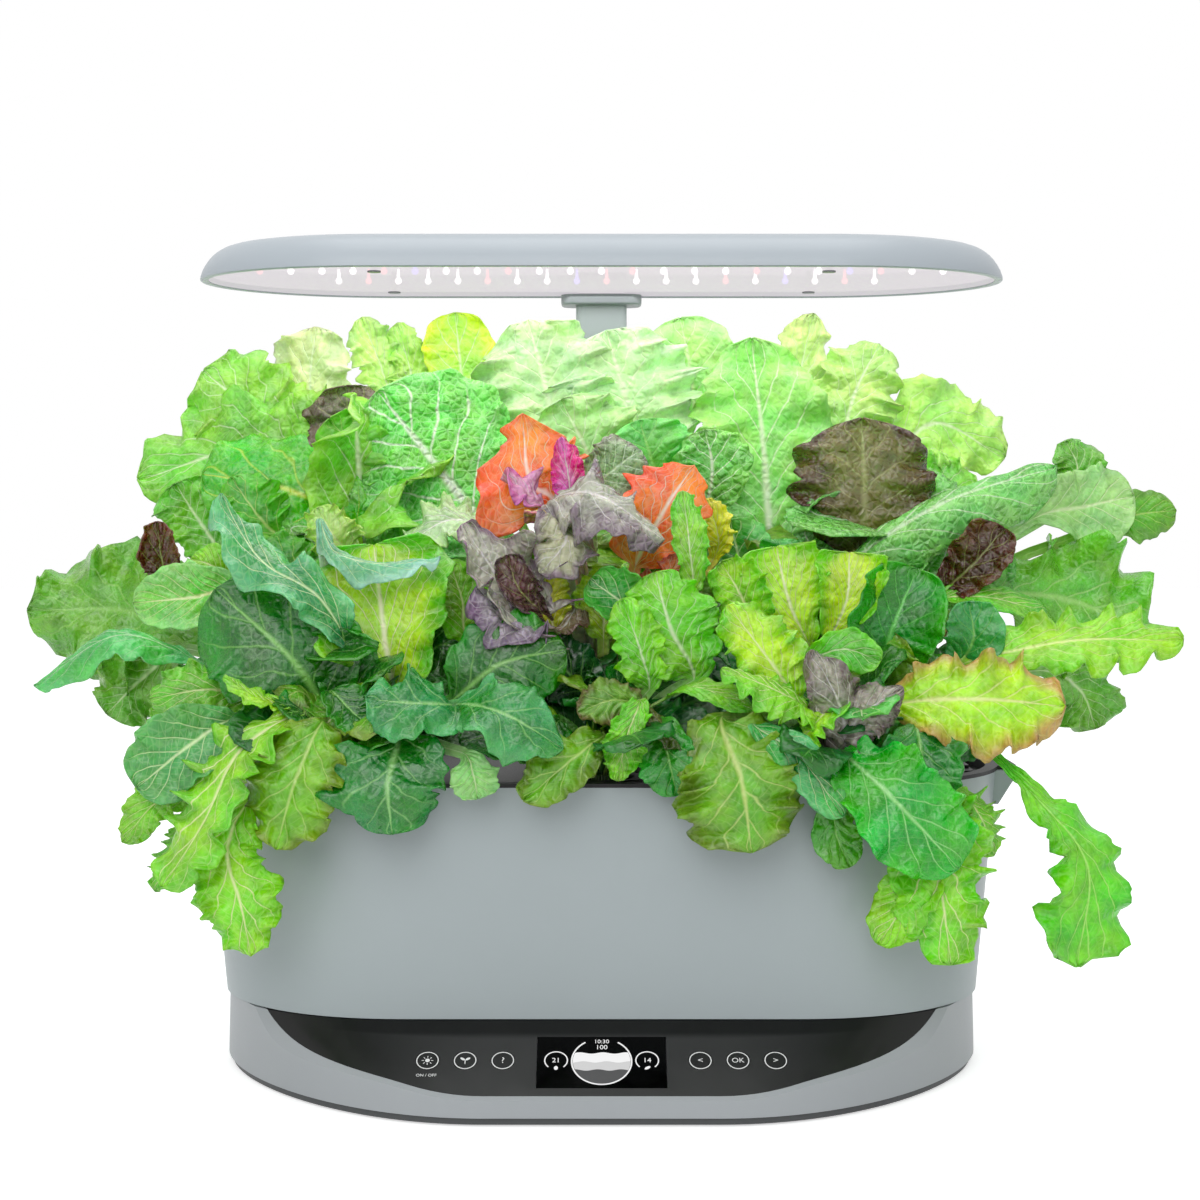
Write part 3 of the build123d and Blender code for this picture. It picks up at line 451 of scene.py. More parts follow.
# ---------------------------------------------------------------------------------------------
# Inside the base: control board, key switches, screen module, power inlet and the wet-side dock.
# They only show when the housing is off or from behind, and carry their usual finishes.

dress(moulded("board_green", paint(20, 74, 44), 0.45, grain=900, Coat_Weight=0.3), "control_board")
switch_plastic = moulded("switch_black", paint(26, 26, 27), 0.55)
dress(switch_plastic, "key_switches", "power_socket", "dock_socket", "dock_plug")
dress(moulded("screen_module", paint(30, 31, 33), 0.35), "display_module")

# ---------------------------------------------------------------------------------------------
# Bowl: blue-grey satin ABS tub with drafted walls, an ear at each end to lift it by and a foot ring
# that drops into the base. Pump, filter, riser and float live in it.

dress(moulded("grey_plastic_bowl", paint(165, 174, 176), 0.4), "bowl")
dress(moulded("pump_black", paint(28, 29, 30), 0.5), "pump_body", "pump_impeller", "pump_riser")
dress(moulded("filter_foam", paint(48, 50, 54), 0.9, grain=700, depth=0.0003), "pump_filter")
dress(moulded("float_white", paint(226, 226, 220), 0.55), "level_float")

# ---------------------------------------------------------------------------------------------
# Grow deck: black ABS tray that lies over the bowl's rim and holds the nine pods; at its right end
# a hinged flap closes the water port.

dress(moulded("deck_black", paint(26, 25, 27), 0.5, Specular_IOR_Level=0.3), "grow_deck", "fill_flap")
dress(screw_steel, "flap_pin")

# ---------------------------------------------------------------------------------------------
# Pods: dark grey polypropylene baskets with slotted walls; each holds a brown sponge of peat, which is given
# no finish here.

basket_plastic = moulded("basket_dark", paint(38, 40, 40), 0.5)
dress(basket_plastic, *[f"pod_basket_{n}" for n in range(1, 10)])

# ---------------------------------------------------------------------------------------------
# Mast: three telescoping tubes of the housing's grey, each running in a guide collar, so that the
# lamp can follow the plants up.

mast_plastic = moulded("grey_plastic_mast", paint(158, 167, 169), 0.38)
dress(mast_plastic, "mast_column", "mast_middle", "mast_upper")
dress(moulded("guide_grey", paint(120, 127, 130), 0.42), "column_guide", "middle_guide")

# ---------------------------------------------------------------------------------------------
# Lamp: grey hood whose ends and front lean in, over a board of white, red and violet LEDs under clear
# optics. Small screws hold the frosted lens, and the collar clips the hood to the mast.

hood_plastic = moulded("grey_plastic_hood", paint(170, 178, 184), 0.36)

# Hood outline in millimetres: straight front and back edges joined by a half oval at each end.
hood_rim, hood_middle, hood_depth = 423.5, 24.0, 160.0
hood_half_width, hood_flat = 221.0, 120.0
hood_steps = 144               # points round the outline
flat_share = 0.7               # sine of the turn at which the straight edge ends
arc_start = math.asin(flat_share)


def hood_point(turn, inset, back_inset, height):
    """A point of the outline at a turn from the middle of the front, drawn in and raised."""
    ahead, aside = math.cos(turn), math.sin(turn)
    x, y = hood_flat * abs(aside) / flat_share, hood_depth / 2 - (inset if ahead > 0 else back_inset)
    if abs(aside) >= flat_share:
        arc = (math.acos(min(1.0, abs(ahead))) - arc_start) / (math.pi / 2 - arc_start) * math.pi / 2
        x = hood_flat + (hood_half_width - inset - hood_flat) * math.sin(arc)
        y *= math.cos(arc)
    place = (math.copysign(x, aside), hood_middle - math.copysign(y, ahead), hood_rim + height)
    return Vector(place) * mm


def hood_skin(name, rings):
    """A closed skin through rings round the hood, each given by its inset at the ends and the front,
    its inset at the back and its height. The first and the last ring close on the middle line."""
    skin = add(name, bpy.ops.mesh.primitive_grid_add, x_subdivisions=len(rings) - 1,
               y_subdivisions=hood_steps, size=1)
    for vertex in skin.data.vertices:
        ring = rings[round((vertex.co.x + 0.5) * (len(rings) - 1))]
        vertex.co = hood_point(2 * math.pi * vertex.co.y, *ring)
    select_only(skin)
    bpy.ops.object.mode_set(mode="EDIT")
    bpy.ops.mesh.select_all(action="SELECT")
    bpy.ops.mesh.remove_doubles(threshold=0.01 * mm)
    bpy.ops.mesh.normals_make_consistent(inside=False)
    bpy.ops.object.mode_set(mode="OBJECT")
    bpy.ops.object.shade_smooth_by_angle(angle=math.radians(50))
    return skin


ceiling = [(80.0, 80.0, 19.0), (27.0, 8.0, 18.4), (16.5, 6.0, 17.0)]
inner_wall = [(9.0, 4.2, 14.4), (6.2, 4.0, 4.5), (6.0, 4.0, 3.3), (4.4, 3.6, 3.3), (4.4, 3.6, 0.3)]
lip = [(4.0, 3.2, 0.0), (0.7, 0.7, 0.0), (0.1, 0.1, 0.5), (0.3, 0.0, 2.2)]
outer_wall = [(1.4, 0.2, 5.4), (2.9, 0.4, 8.2), (4.7, 0.7, 10.8), (6.9, 1.0, 13.2), (9.6, 1.4, 15.4)]
top = [(12.8, 2.2, 17.2), (16.6, 3.6, 18.5), (21.0, 6.0, 19.3), (28.0, 11.0, 19.8), (80.0, 80.0, 20.4)]
hood = hood_skin("lamp_hood", ceiling + inner_wall + lip + outer_wall + top)
hood.data.materials.append(hood_plastic)
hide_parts("hood_shell")
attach(hood, "lamp")
dress(moulded("grey_plastic_collar", paint(128, 136, 138), 0.38), "hood_bracket")
dress(moulded("lens_screw", paint(112, 112, 118), 0.4), "hood_screws")


def glowing(name, colour, strength, base):
    """A surface that gives off light, with a little unevenness in it."""
    material, nodes, links, shader = new_finish(name, 0.4)
    uneven = object_noise(nodes, links, 40.0)
    vary(nodes, links, shader, uneven, scaled(base, 0.92), base)
    vary(nodes, links, shader, uneven, scaled(colour, 0.94), colour, "Emission Color")
    shader.inputs["Emission Strength"].default_value = strength
    return material


dress(glowing("led_board_white", paint(230, 222, 228), 0.78, paint(140, 136, 140)), "led_board")


optic_radius, optic_depth = 1.9 * mm, 6.8 * mm
stem_foot, stem_head = 0.6 * optic_radius, 0.3 * optic_radius
led_spread = 6 * mm            # farther apart than one LED's corners, nearer than two LEDs


def led_domes(node, finish):
    """Moulded optics over the LEDs of a node: a slim stem down from each LED with a ball at its end."""
    left, places = {v.index: v.co.copy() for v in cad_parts[node].data.vertices}, []
    while left:
        first = left.pop(next(iter(left)))
        near = [index for index, corner in left.items() if (corner - first).length < led_spread]
        corners = [first] + [left.pop(index) for index in near]
        places.append(sum(corners, Vector()) / len(corners))
    parts = []
    for place in places:
        drop = Vector((0, 0, optic_depth))
        parts.append(add("stem", bpy.ops.mesh.primitive_cone_add, vertices=12, radius1=stem_foot,
                         radius2=stem_head, depth=optic_depth, location=place - drop / 2))
        bpy.ops.object.transform_apply(location=True)
        parts.append(add("ball", bpy.ops.mesh.primitive_uv_sphere_add, segments=16, ring_count=10,
                         radius=optic_radius, location=place - drop))
        bpy.ops.object.transform_apply(location=True)
    whole = join(f"{node}_domes", parts)
    whole.data.materials.append(finish)
    select_only(whole)
    bpy.ops.object.shade_smooth()
    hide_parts(node)
    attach(whole, "lamp")


led_domes("leds_white", glowing("led_white", paint(255, 250, 250), 6.0, paint(250, 240, 240)))
led_domes("leds_red", glowing("led_red", paint(255, 140, 150), 3.0, paint(250, 170, 160)))
led_domes("leds_violet", glowing("led_violet", paint(160, 140, 255), 3.2, paint(190, 180, 250)))

lens_clear, nodes, links, shader = new_finish("lens_clear", 0.6, Alpha=0.7, Specular_IOR_Level=0.0)
frost = object_noise(nodes, links, 700.0)
vary(nodes, links, shader, frost, paint(120, 116, 120), paint(130, 127, 131))
shader.inputs["Emission Color"].default_value = paint(236, 229, 235)
shader.inputs["Emission Strength"].default_value = 0.80
press_in(nodes, links, shader, frost, 0.00002, 0.4)
dress(lens_clear, "hood_lens")

# ---------------------------------------------------------------------------------------------
# Lettuces: nine plants of mixed leaf, one to a pod. Each leaf is a sheet on its own midrib, with
# cupped, quilted or frilled blades, and all the leaves of a plant are one piece with its crown.

leaf_thickness = 0.7 * mm


def leaf_surface():
    """Leaf skin: body colour to margin colour, pale midrib and side veins, faint blistered net."""
    material, nodes, links, shader = new_finish(
        "lettuce_leaf", 0.4, Subsurface_Weight=0.3, Subsurface_Radius=(0.5, 1.0, 0.2), Subsurface_Scale=0.006,
        Specular_IOR_Level=0.5, Coat_Weight=0.25, Coat_Roughness=0.2,
    )

    def attribute(name, output="Fac"):
        reader = nodes.new("ShaderNodeAttribute")
        reader.attribute_name = name
        return reader.outputs[output]

    def combine(operation, *values):
        return maths(nodes, links, operation, *values)

    along, across, ribbing = attribute("along"), attribute("across"), attribute("ribbing")
    out = combine("ABSOLUTE", across)
    right_half = combine("GREATER_THAN", across, 0.0)
    wander = combine("MULTIPLY", object_noise(nodes, links, 60.0), 0.45)

    def vein_lines(spacing, forward, thickness):
        """Lines that leave the midrib and run outwards and forwards."""
        count = combine("MULTIPLY", attribute("veins"), spacing)
        forwards = combine("MULTIPLY", attribute("sweep"), forward)
        slant = combine("MULTIPLY", combine("POWER", out, 0.8), forwards)
        phase = combine("MULTIPLY", combine("SUBTRACT", along, slant), count)
        phase = combine("ADD", combine("ADD", phase, wander), combine("MULTIPLY", right_half, 0.4))
        from_line = combine("ABSOLUTE", combine("SUBTRACT", combine("FRACT", phase), 0.5))
        near = combine("SUBTRACT", 1.0, combine("MULTIPLY", from_line, 2.0))
        edge = ramp(nodes, links, out, 0.0, 1.0, 1.0, thickness, "LINEAR")
        wide = combine("MULTIPLY", edge, 0.2)
        return ramp(nodes, links, near, 0.0, wide, 1.0, 0.0)

    rib_width = ramp(nodes, links, along, -0.1, 1.0, 0.16, 0.02, "LINEAR")
    petiole = ramp(nodes, links, along, -0.12, 0.06, 1.0, 0.0)
    midrib = combine("MAXIMUM", ramp(nodes, links, out, 0.0, rib_width, 1.0, 0.0), petiole)
    inward = ramp(nodes, links, out, 0.55, 1.0, 1.0, 0.1)
    side_veins = combine("MULTIPLY", vein_lines(1.0, 1.0, 0.35), inward)
    fine_veins = combine("MULTIPLY", combine("MULTIPLY", vein_lines(2.7, -0.8, 0.5), inward), 0.3)
    net = nodes.new("ShaderNodeTexVoronoi")
    net.feature = "DISTANCE_TO_EDGE"
    net.inputs["Scale"].default_value = 210.0
    place = nodes.new("ShaderNodeTexCoord")
    links.new(place.outputs["Object"], net.inputs["Vector"])
    net_lines = ramp(nodes, links, net.outputs["Distance"], 0.0, 0.12, 0.14, 0.0)
    thin = combine("MAXIMUM", combine("MAXIMUM", side_veins, fine_veins), net_lines)
    thick = combine("MULTIPLY", midrib, ramp(nodes, links, ribbing, 0.0, 1.0, 0.6, 1.0))
    veins = combine("MAXIMUM", thick, combine("MULTIPLY", thin, ribbing))

    patch = object_noise(nodes, links, 48.0, 4.0)
    reach = combine("ADD", out, combine("MULTIPLY", combine("SUBTRACT", patch, 0.5), attribute("patch")))
    reach = combine("ADD", reach, ramp(nodes, links, along, 0.7, 1.05, 0.0, 0.4))
    to_margin = ramp(nodes, links, reach, 0.4, 1.05, 0.0, 1.0)
    skin = blend(nodes, links, to_margin, attribute("body", "Color"), attribute("margin", "Color"))
    shade = nodes.new("ShaderNodeHueSaturation")
    cloud = ramp(nodes, links, object_noise(nodes, links, 80.0, 5.0, 0.6), 0.3, 0.7, 0.74, 1.24)
    links.new(cloud, shade.inputs["Value"])
    shade.inputs["Saturation"].default_value = 1.12
    links.new(ramp(nodes, links, patch, 0.3, 0.7, 0.485, 0.512), shade.inputs["Hue"])
    links.new(skin, shade.inputs["Color"])
    whole = blend(nodes, links, veins, shade.outputs["Color"], attribute("rib", "Color"))
    links.new(whole, shader.inputs["Base Color"])
    grain = object_noise(nodes, links, 900.0)
    uneven = ramp(nodes, links, grain, 0.3, 0.7, -0.06, 0.08)
    links.new(combine("ADD", attribute("matt"), uneven), shader.inputs["Roughness"])
    cells = ramp(nodes, links, net.outputs["Distance"], 0.0, 0.4, 0.0, 1.0)
    relief = combine("MULTIPLY", cells, attribute("puff"))
    relief = combine("ADD", relief, combine("MULTIPLY", combine("MAXIMUM", midrib, side_veins), -0.4))
    relief = combine("ADD", relief, combine("MULTIPLY", grain, 0.1))
    press_in(nodes, links, shader, relief, 0.0007, 0.9)
    return material


leaf_skin = leaf_surface()

# Kinds of leaf. shape: how the blade opens and closes; frill: share of the half-width, waves a side;
# teeth: depth (pointed, or below zero for round lobes), count a side; cup: bend of the section at its
# base and tip, in radians; quilt and blister: swelling between veins and bubbles, in millimetres;
# veins: how many a side; ribbing: how plain they are; matt: roughness; patch: how unevenly the colour
# of the margin comes in.
trait_names = ("shape", "frill", "teeth", "cup", "quilt", "blister", "veins", "ribbing", "matt", "patch",
               "body", "margin", "rib")
kind_rows = (
    ("butter", (0.7, 0.45), (0.1, 3), (-0.05, 4), (0.9, 0.2), 1.2, 1.0, 6, 0.8, 0.36, 0.6,
     (72, 160, 62), (98, 182, 84), (206, 236, 172)),
    ("dark", (0.65, 0.45), (0.1, 3), (-0.08, 4), (0.6, -0.3), 1.4, 0.9, 5, 0.5, 0.28, 0.6,
     (20, 94, 16), (40, 124, 30), (140, 204, 100)),
    # The next kind's dark greens are painted shade, for filler leaves far inside the mass where shadow falls.
    ("deep", (0.7, 0.4), (0.1, 3), (-0.05, 3), (0.5, -0.3), 1.2, 0.9, 5, 0.4, 0.36, 0.6,
     (18, 84, 26), (26, 98, 34), (96, 160, 70)),
    ("ivy", (0.55, 0.6), (0.1, 2), (0.3, 3), (0.3, -0.7), 1.6, 0.8, 4, 0.5, 0.24, 0.8,
     (26, 104, 32), (54, 142, 62), (150, 210, 124)),
    ("lime", (0.6, 0.5), (0.24, 6), (0.2, 7), (0.5, 0.0), 1.6, 1.4, 8, 0.9, 0.38, 1.0,
     (150, 222, 40), (124, 206, 48), (228, 246, 170)),
    ("fan", (1.0, 0.3), (0.16, 4), (-0.07, 7), (1.2, 0.3), 1.6, 1.2, 7, 1.0, 0.36, 0.8,
     (172, 232, 16), (84, 186, 16), (240, 250, 190)),
    ("frilly", (0.55, 0.45), (0.17, 5), (0.24, 6), (0.4, -0.4), 1.8, 3.0, 8, 0.7, 0.36, 1.0,
     (124, 206, 78), (146, 216, 88), (214, 244, 186)),
    ("savoy", (0.65, 0.42), (0.06, 4), (-0.03, 6), (0.5, -0.4), 2.2, 2.8, 6, 0.9, 0.28, 0.8,
     (112, 194, 90), (136, 210, 112), (216, 244, 200)),
    ("olive", (0.6, 0.45), (0.2, 5), (0.26, 5), (0.3, -0.4), 1.8, 1.6, 6, 0.7, 0.38, 2.0,
     (104, 168, 46), (106, 134, 50), (178, 216, 112)),
    ("bronze", (0.7, 0.42), (0.14, 4), (-0.1, 5), (0.3, -0.6), 2.4, 3.4, 5, 0.6, 0.24, 1.8,
     (98, 100, 50), (76, 56, 38), (150, 150, 92)),
    ("purple", (0.6, 0.5), (0.3, 3), (0.12, 4), (0.8, -0.8), 2.2, 3.0, 6, 0.6, 0.16, 2.2,
     (164, 168, 140), (122, 98, 116), (216, 216, 206)),
    ("maple", (0.5, 0.75), (0.08, 2), (0.56, 2.5), (0.3, -0.4), 0.8, 0.5, 5, 0.8, 0.4, 1.2,
     (250, 132, 84), (240, 96, 50), (255, 226, 210)),
)
kinds = {name: dict(zip(trait_names, row)) for name, *row in kind_rows}
kinds["fan"]["sweep"] = 0.8
kinds["purple"]["fold"] = 11.0
for name, puff in (("savoy", 2.2), ("bronze", 1.4), ("purple", 1.2), ("maple", 0.4)):
    kinds[name]["puff"] = puff

# Ways that a leaf's upper side looks.
FRONT, UP, LEFT, RIGHT = (0, -1, 0.3), (0, -0.35, 1), (-0.6, -0.8, 0.4), (0.6, -0.8, 0.4)
usual = dict(puff=0.7, sweep=0.38, fold=4.0, twist=0.0, face=FRONT)
petiole_rows = 8


def through(points, share):
    """A point on the smooth curve through the points, at a share of its length from 0 to 1."""
    spans = len(points) - 1
    at = min(max(share, 0.0), 1.0) * spans
    index = min(int(at), spans - 1)
    t = at - index
    before = points[index - 1] if index else points[0] * 2 - points[1]
    start, end = points[index], points[index + 1]
    after = points[index + 2] if index + 2 <= spans else points[-1] * 2 - points[-2]
    return 0.5 * (
        2 * start + (end - before) * t + (2 * before - 5 * start + 4 * end - after) * t * t
        + (3 * start - before - 3 * end + after) * t ** 3
    )


skin_traits = ("veins", "matt", "patch", "ribbing", "puff", "sweep")


def note(mesh, numbers, body, margin, rib):
    """Write the values and colours that the leaf skin reads at each point."""
    for name, values in numbers.items():
        mesh.attributes.new(name, "FLOAT", "POINT")
        mesh.attributes[name].data.foreach_set("value", values)
    for name, colour in (("body", body), ("margin", margin), ("rib", rib)):
        mesh.attributes.new(name, "FLOAT_COLOR", "POINT")
        mesh.attributes[name].data.foreach_set("color", list(colour) * len(mesh.vertices))


def midrib_frames(crown, path, trait, blade_rows):
    """Place, facing and side of the midrib at each row, from the crown to the blade's tip."""
    points = [Vector(point) * mm for point in path]
    aside = Vector((points[0].x - crown.x, points[0].y - crown.y, 0))
    root = crown + aside.normalized() * 0.005
    knee = root.lerp(points[0], 0.5) + Vector((0, 0, 0.15 * (points[0] - root).length))
    stalk, bend = [root, knee, points[0]], [knee] + points
    looks = Vector(trait["face"])
    frames = []
    for row in range(petiole_rows + blade_rows + 1):
        blade = (row - petiole_rows) / blade_rows
        first = 1 / (len(bend) - 1)
        line, share = (bend, first + (1 - first) * blade) if blade >= 0 else (stalk, row / petiole_rows)
        step = min(share, 0.98)
        tangent = (through(line, step + 0.02) - through(line, step - 0.02)).normalized()
        t = max(0.0, blade)
        normal = (looks - tangent * looks.dot(tangent)).normalized()
        turn = Matrix.Rotation(trait["twist"] * t, 3, tangent)
        frames.append((blade, through(line, share), tangent, turn @ normal, turn @ tangent.cross(normal)))
    return frames


full_turn = 6.283


def grow_leaf(crown, kind, path, width, seed, rows=56, columns=26, **changes):
    """One leaf: petiole from the crown to the first point of the path, then the blade along the rest."""
    trait = {**usual, **kinds[kind], **changes}
    chance = random.Random(seed)
    phases = [chance.uniform(0, 6.28) for _ in range(8)]
    seed_place = Vector([chance.uniform(0, 50) for _ in range(3)])
    warmth = chance.uniform(0.88, 1.12)
    half = width * mm / 2
    opens, closes = trait["shape"]
    widest = opens / (opens + closes)
    frill_size, frill_waves = trait["frill"]
    tooth_depth, tooth_count = trait["teeth"]
    frames = midrib_frames(crown, path, trait, rows)

    leaf = add("leaf", bpy.ops.mesh.primitive_grid_add, x_subdivisions=rows + petiole_rows,
               y_subdivisions=columns, size=1)
    along, across = [], []
    for vertex in leaf.data.vertices:
        blade, centre, tangent, normal, side = frames[round((vertex.co.x + 0.5) * (rows + petiole_rows))]
        v = vertex.co.y * 2
        out, hand = abs(v), int(v > 0)
        t = max(0.0, min(1.0, blade))
        opening = (max(t, 1e-4) / widest) ** opens * (max(1 - t, 1e-4) / (1 - widest)) ** closes
        # margin: pointed teeth, or round lobes with sharp notches, with finer ones on them
        swing = tooth_count * math.pi * t + 0.9 * math.sin(5 * t + phases[hand]) + phases[2 + hand]
        coarse, fine = abs(math.sin(swing)), abs(math.sin(2.7 * swing + phases[4]))
        if tooth_depth < 0:
            coarse, fine = 1 - coarse, 1 - fine
        uneven = 0.65 + 0.35 * math.sin(9 * t + phases[4 + hand])
        scale = 1 - abs(tooth_depth) * (coarse * uneven + 0.3 * fine)
        scale += 0.20 * noise.noise(Vector((4 * t, 9 * hand, phases[5])))
        scale += 0.12 * noise.noise(Vector((11 * t, 9 * hand, phases[5])))
        spread = max(half * opening * scale, min(half * 0.3, 3.2 * mm) * (1 - t) ** 0.5)
        # section: bent to an arc, the petiole to a gutter
        bow = trait["cup"][0] + (trait["cup"][1] - trait["cup"][0]) * t + 1.2 * min(1.0, max(0.0, -blade * 4))
        bow = bow if abs(bow) > 0.02 else 0.02
        lateral = spread * math.sin(bow * v) / bow
        rise = spread * (1 - math.cos(bow * v)) / bow
        # frill: the margin swings to and fro and leans along the leaf
        wander = noise.noise(Vector((4 * t, 7 * hand, phases[6])))
        beat = frill_waves * full_turn * t + phases[hand] * 2 + 3.0 * wander
        amount = frill_size * half * out ** 2 * min(1.0, opening * 1.5) * min(1.0, 6 * t + 0.1)
        ripple = amount * (math.sin(beat) + 0.45 * math.sin(2.1 * beat + phases[7]))
        lean = amount * 0.3 * math.cos(beat)
        # swelling between the side veins, blisters, and a slow unevenness of the whole sheet
        vein_place = (t - out ** 0.8 * usual["sweep"]) * trait["veins"] + 0.4 * hand
        pillow = math.sin(math.pi * (vein_place % 1.0)) ** 0.7 * min(1.0, out * 5) * (1 - 0.5 * out)
        position = centre + side * lateral + normal * (rise + ripple) + tangent * lean
        bubbles = noise.noise(position * 75 + seed_place) + 0.6 * noise.noise(position * 170 + seed_place)
        swell = trait["quilt"] * pillow + trait["blister"] * bubbles * min(1.0, out * 4)
        swell = swell * mm * min(1.0, t * 8)
        lazy = noise.noise(position * 20 + seed_place) * 7.0 * mm * t * (0.3 + 0.7 * out)
        lazy += noise.noise(position * 45 + seed_place) * trait["fold"] * mm * out * min(1.0, t * 4)
        vertex.co = position + normal * (swell + lazy)
        along.append(blade)
        across.append(v)
    numbers = {name: [trait[name]] * len(along) for name in skin_traits}
    body, margin = (scaled(paint(*trait[name]), warmth) for name in ("body", "margin"))
    note(leaf.data, dict(numbers, along=along, across=across), body, margin, paint(*trait["rib"]))
    bpy.ops.object.shade_smooth()
    return leaf


golden_angle = math.radians(137.5)
mast_half_width, mast_front = 38, 60       # millimetres; no young leaf grows into the mast


def heart(crown, mixture, count, reach, rise, seed):
    """The rosette round a crown: leaves in turn round it, the inner ones steep, the outer ones flat."""
    chance = random.Random(seed)
    grown = []
    for step in range(count):
        azimuth = golden_angle * step + chance.uniform(-0.3, 0.3) + seed
        outer = (step + 1) / count
        lean = 0.25 + 0.75 * outer + chance.uniform(-0.08, 0.08)
        ahead = Vector((math.cos(azimuth), math.sin(azimuth), 0))
        far = reach * lean
        top = rise * (1.0 - 0.45 * outer) * chance.uniform(0.85, 1.1)
        base = crown / mm
        path = [
            base + ahead * far * 0.30 + Vector((0, 0, top * 0.45)),
            base + ahead * far * 0.72 + Vector((0, 0, top * 0.95)),
            base + ahead * far * 1.05 + Vector((0, 0, top * (1.15 - 0.35 * outer))),
        ]
        if abs(path[1].x) < mast_half_width and path[1].y > mast_front:
            continue
        looks = tuple(Vector((0, -0.6, 0.6)) - ahead * 0.35)
        width = chance.uniform(0.42, 0.56) * (rise + reach) * 0.62
        kind = mixture[step % len(mixture)]
        grown.append(grow_leaf(
            crown, kind, path, width, seed * 50 + step, 30, 14, face=looks, teeth=(0.06, 3), frill=(0.1, 3)
        ))
    return grown


def crown_stub(place):
    """The short stump that the leaves grow from, standing on the sponge."""
    stub = add("stub", bpy.ops.mesh.primitive_cylinder_add, vertices=20, radius=5.5 * mm, depth=12 * mm,
               location=place)
    bpy.ops.object.mode_set(mode="EDIT")
    bpy.ops.mesh.select_all(action="SELECT")
    bpy.ops.mesh.bevel(offset=1.5 * mm, segments=3)
    bpy.ops.object.mode_set(mode="OBJECT")
    bpy.ops.object.transform_apply(location=True)
    levels = dict.fromkeys(skin_traits, 0.0)
    levels.update(along=-0.3, across=0.0, matt=0.5, ribbing=1.0)
    pale = paint(196, 220, 160)
    many = len(stub.data.vertices)
    note(stub.data, {name: [level] * many for name, level in levels.items()}, pale, pale, pale)
    bpy.ops.object.shade_smooth()
    return stub


pod_columns = (-130.0, 0.0, 130.0)
pod_rows = (-62.0, -10.0, 42.0)
crown_height = 163.0
first_leaf_seed = 101


def tint(*levels, **changes):
    """What sets a leaf apart: body, margin and rib colour, three numbers each, then anything else."""
    for index, name in enumerate(("body", "margin", "rib")[:len(levels) // 3]):
        changes[name] = levels[3 * index:3 * index + 3]
    return changes


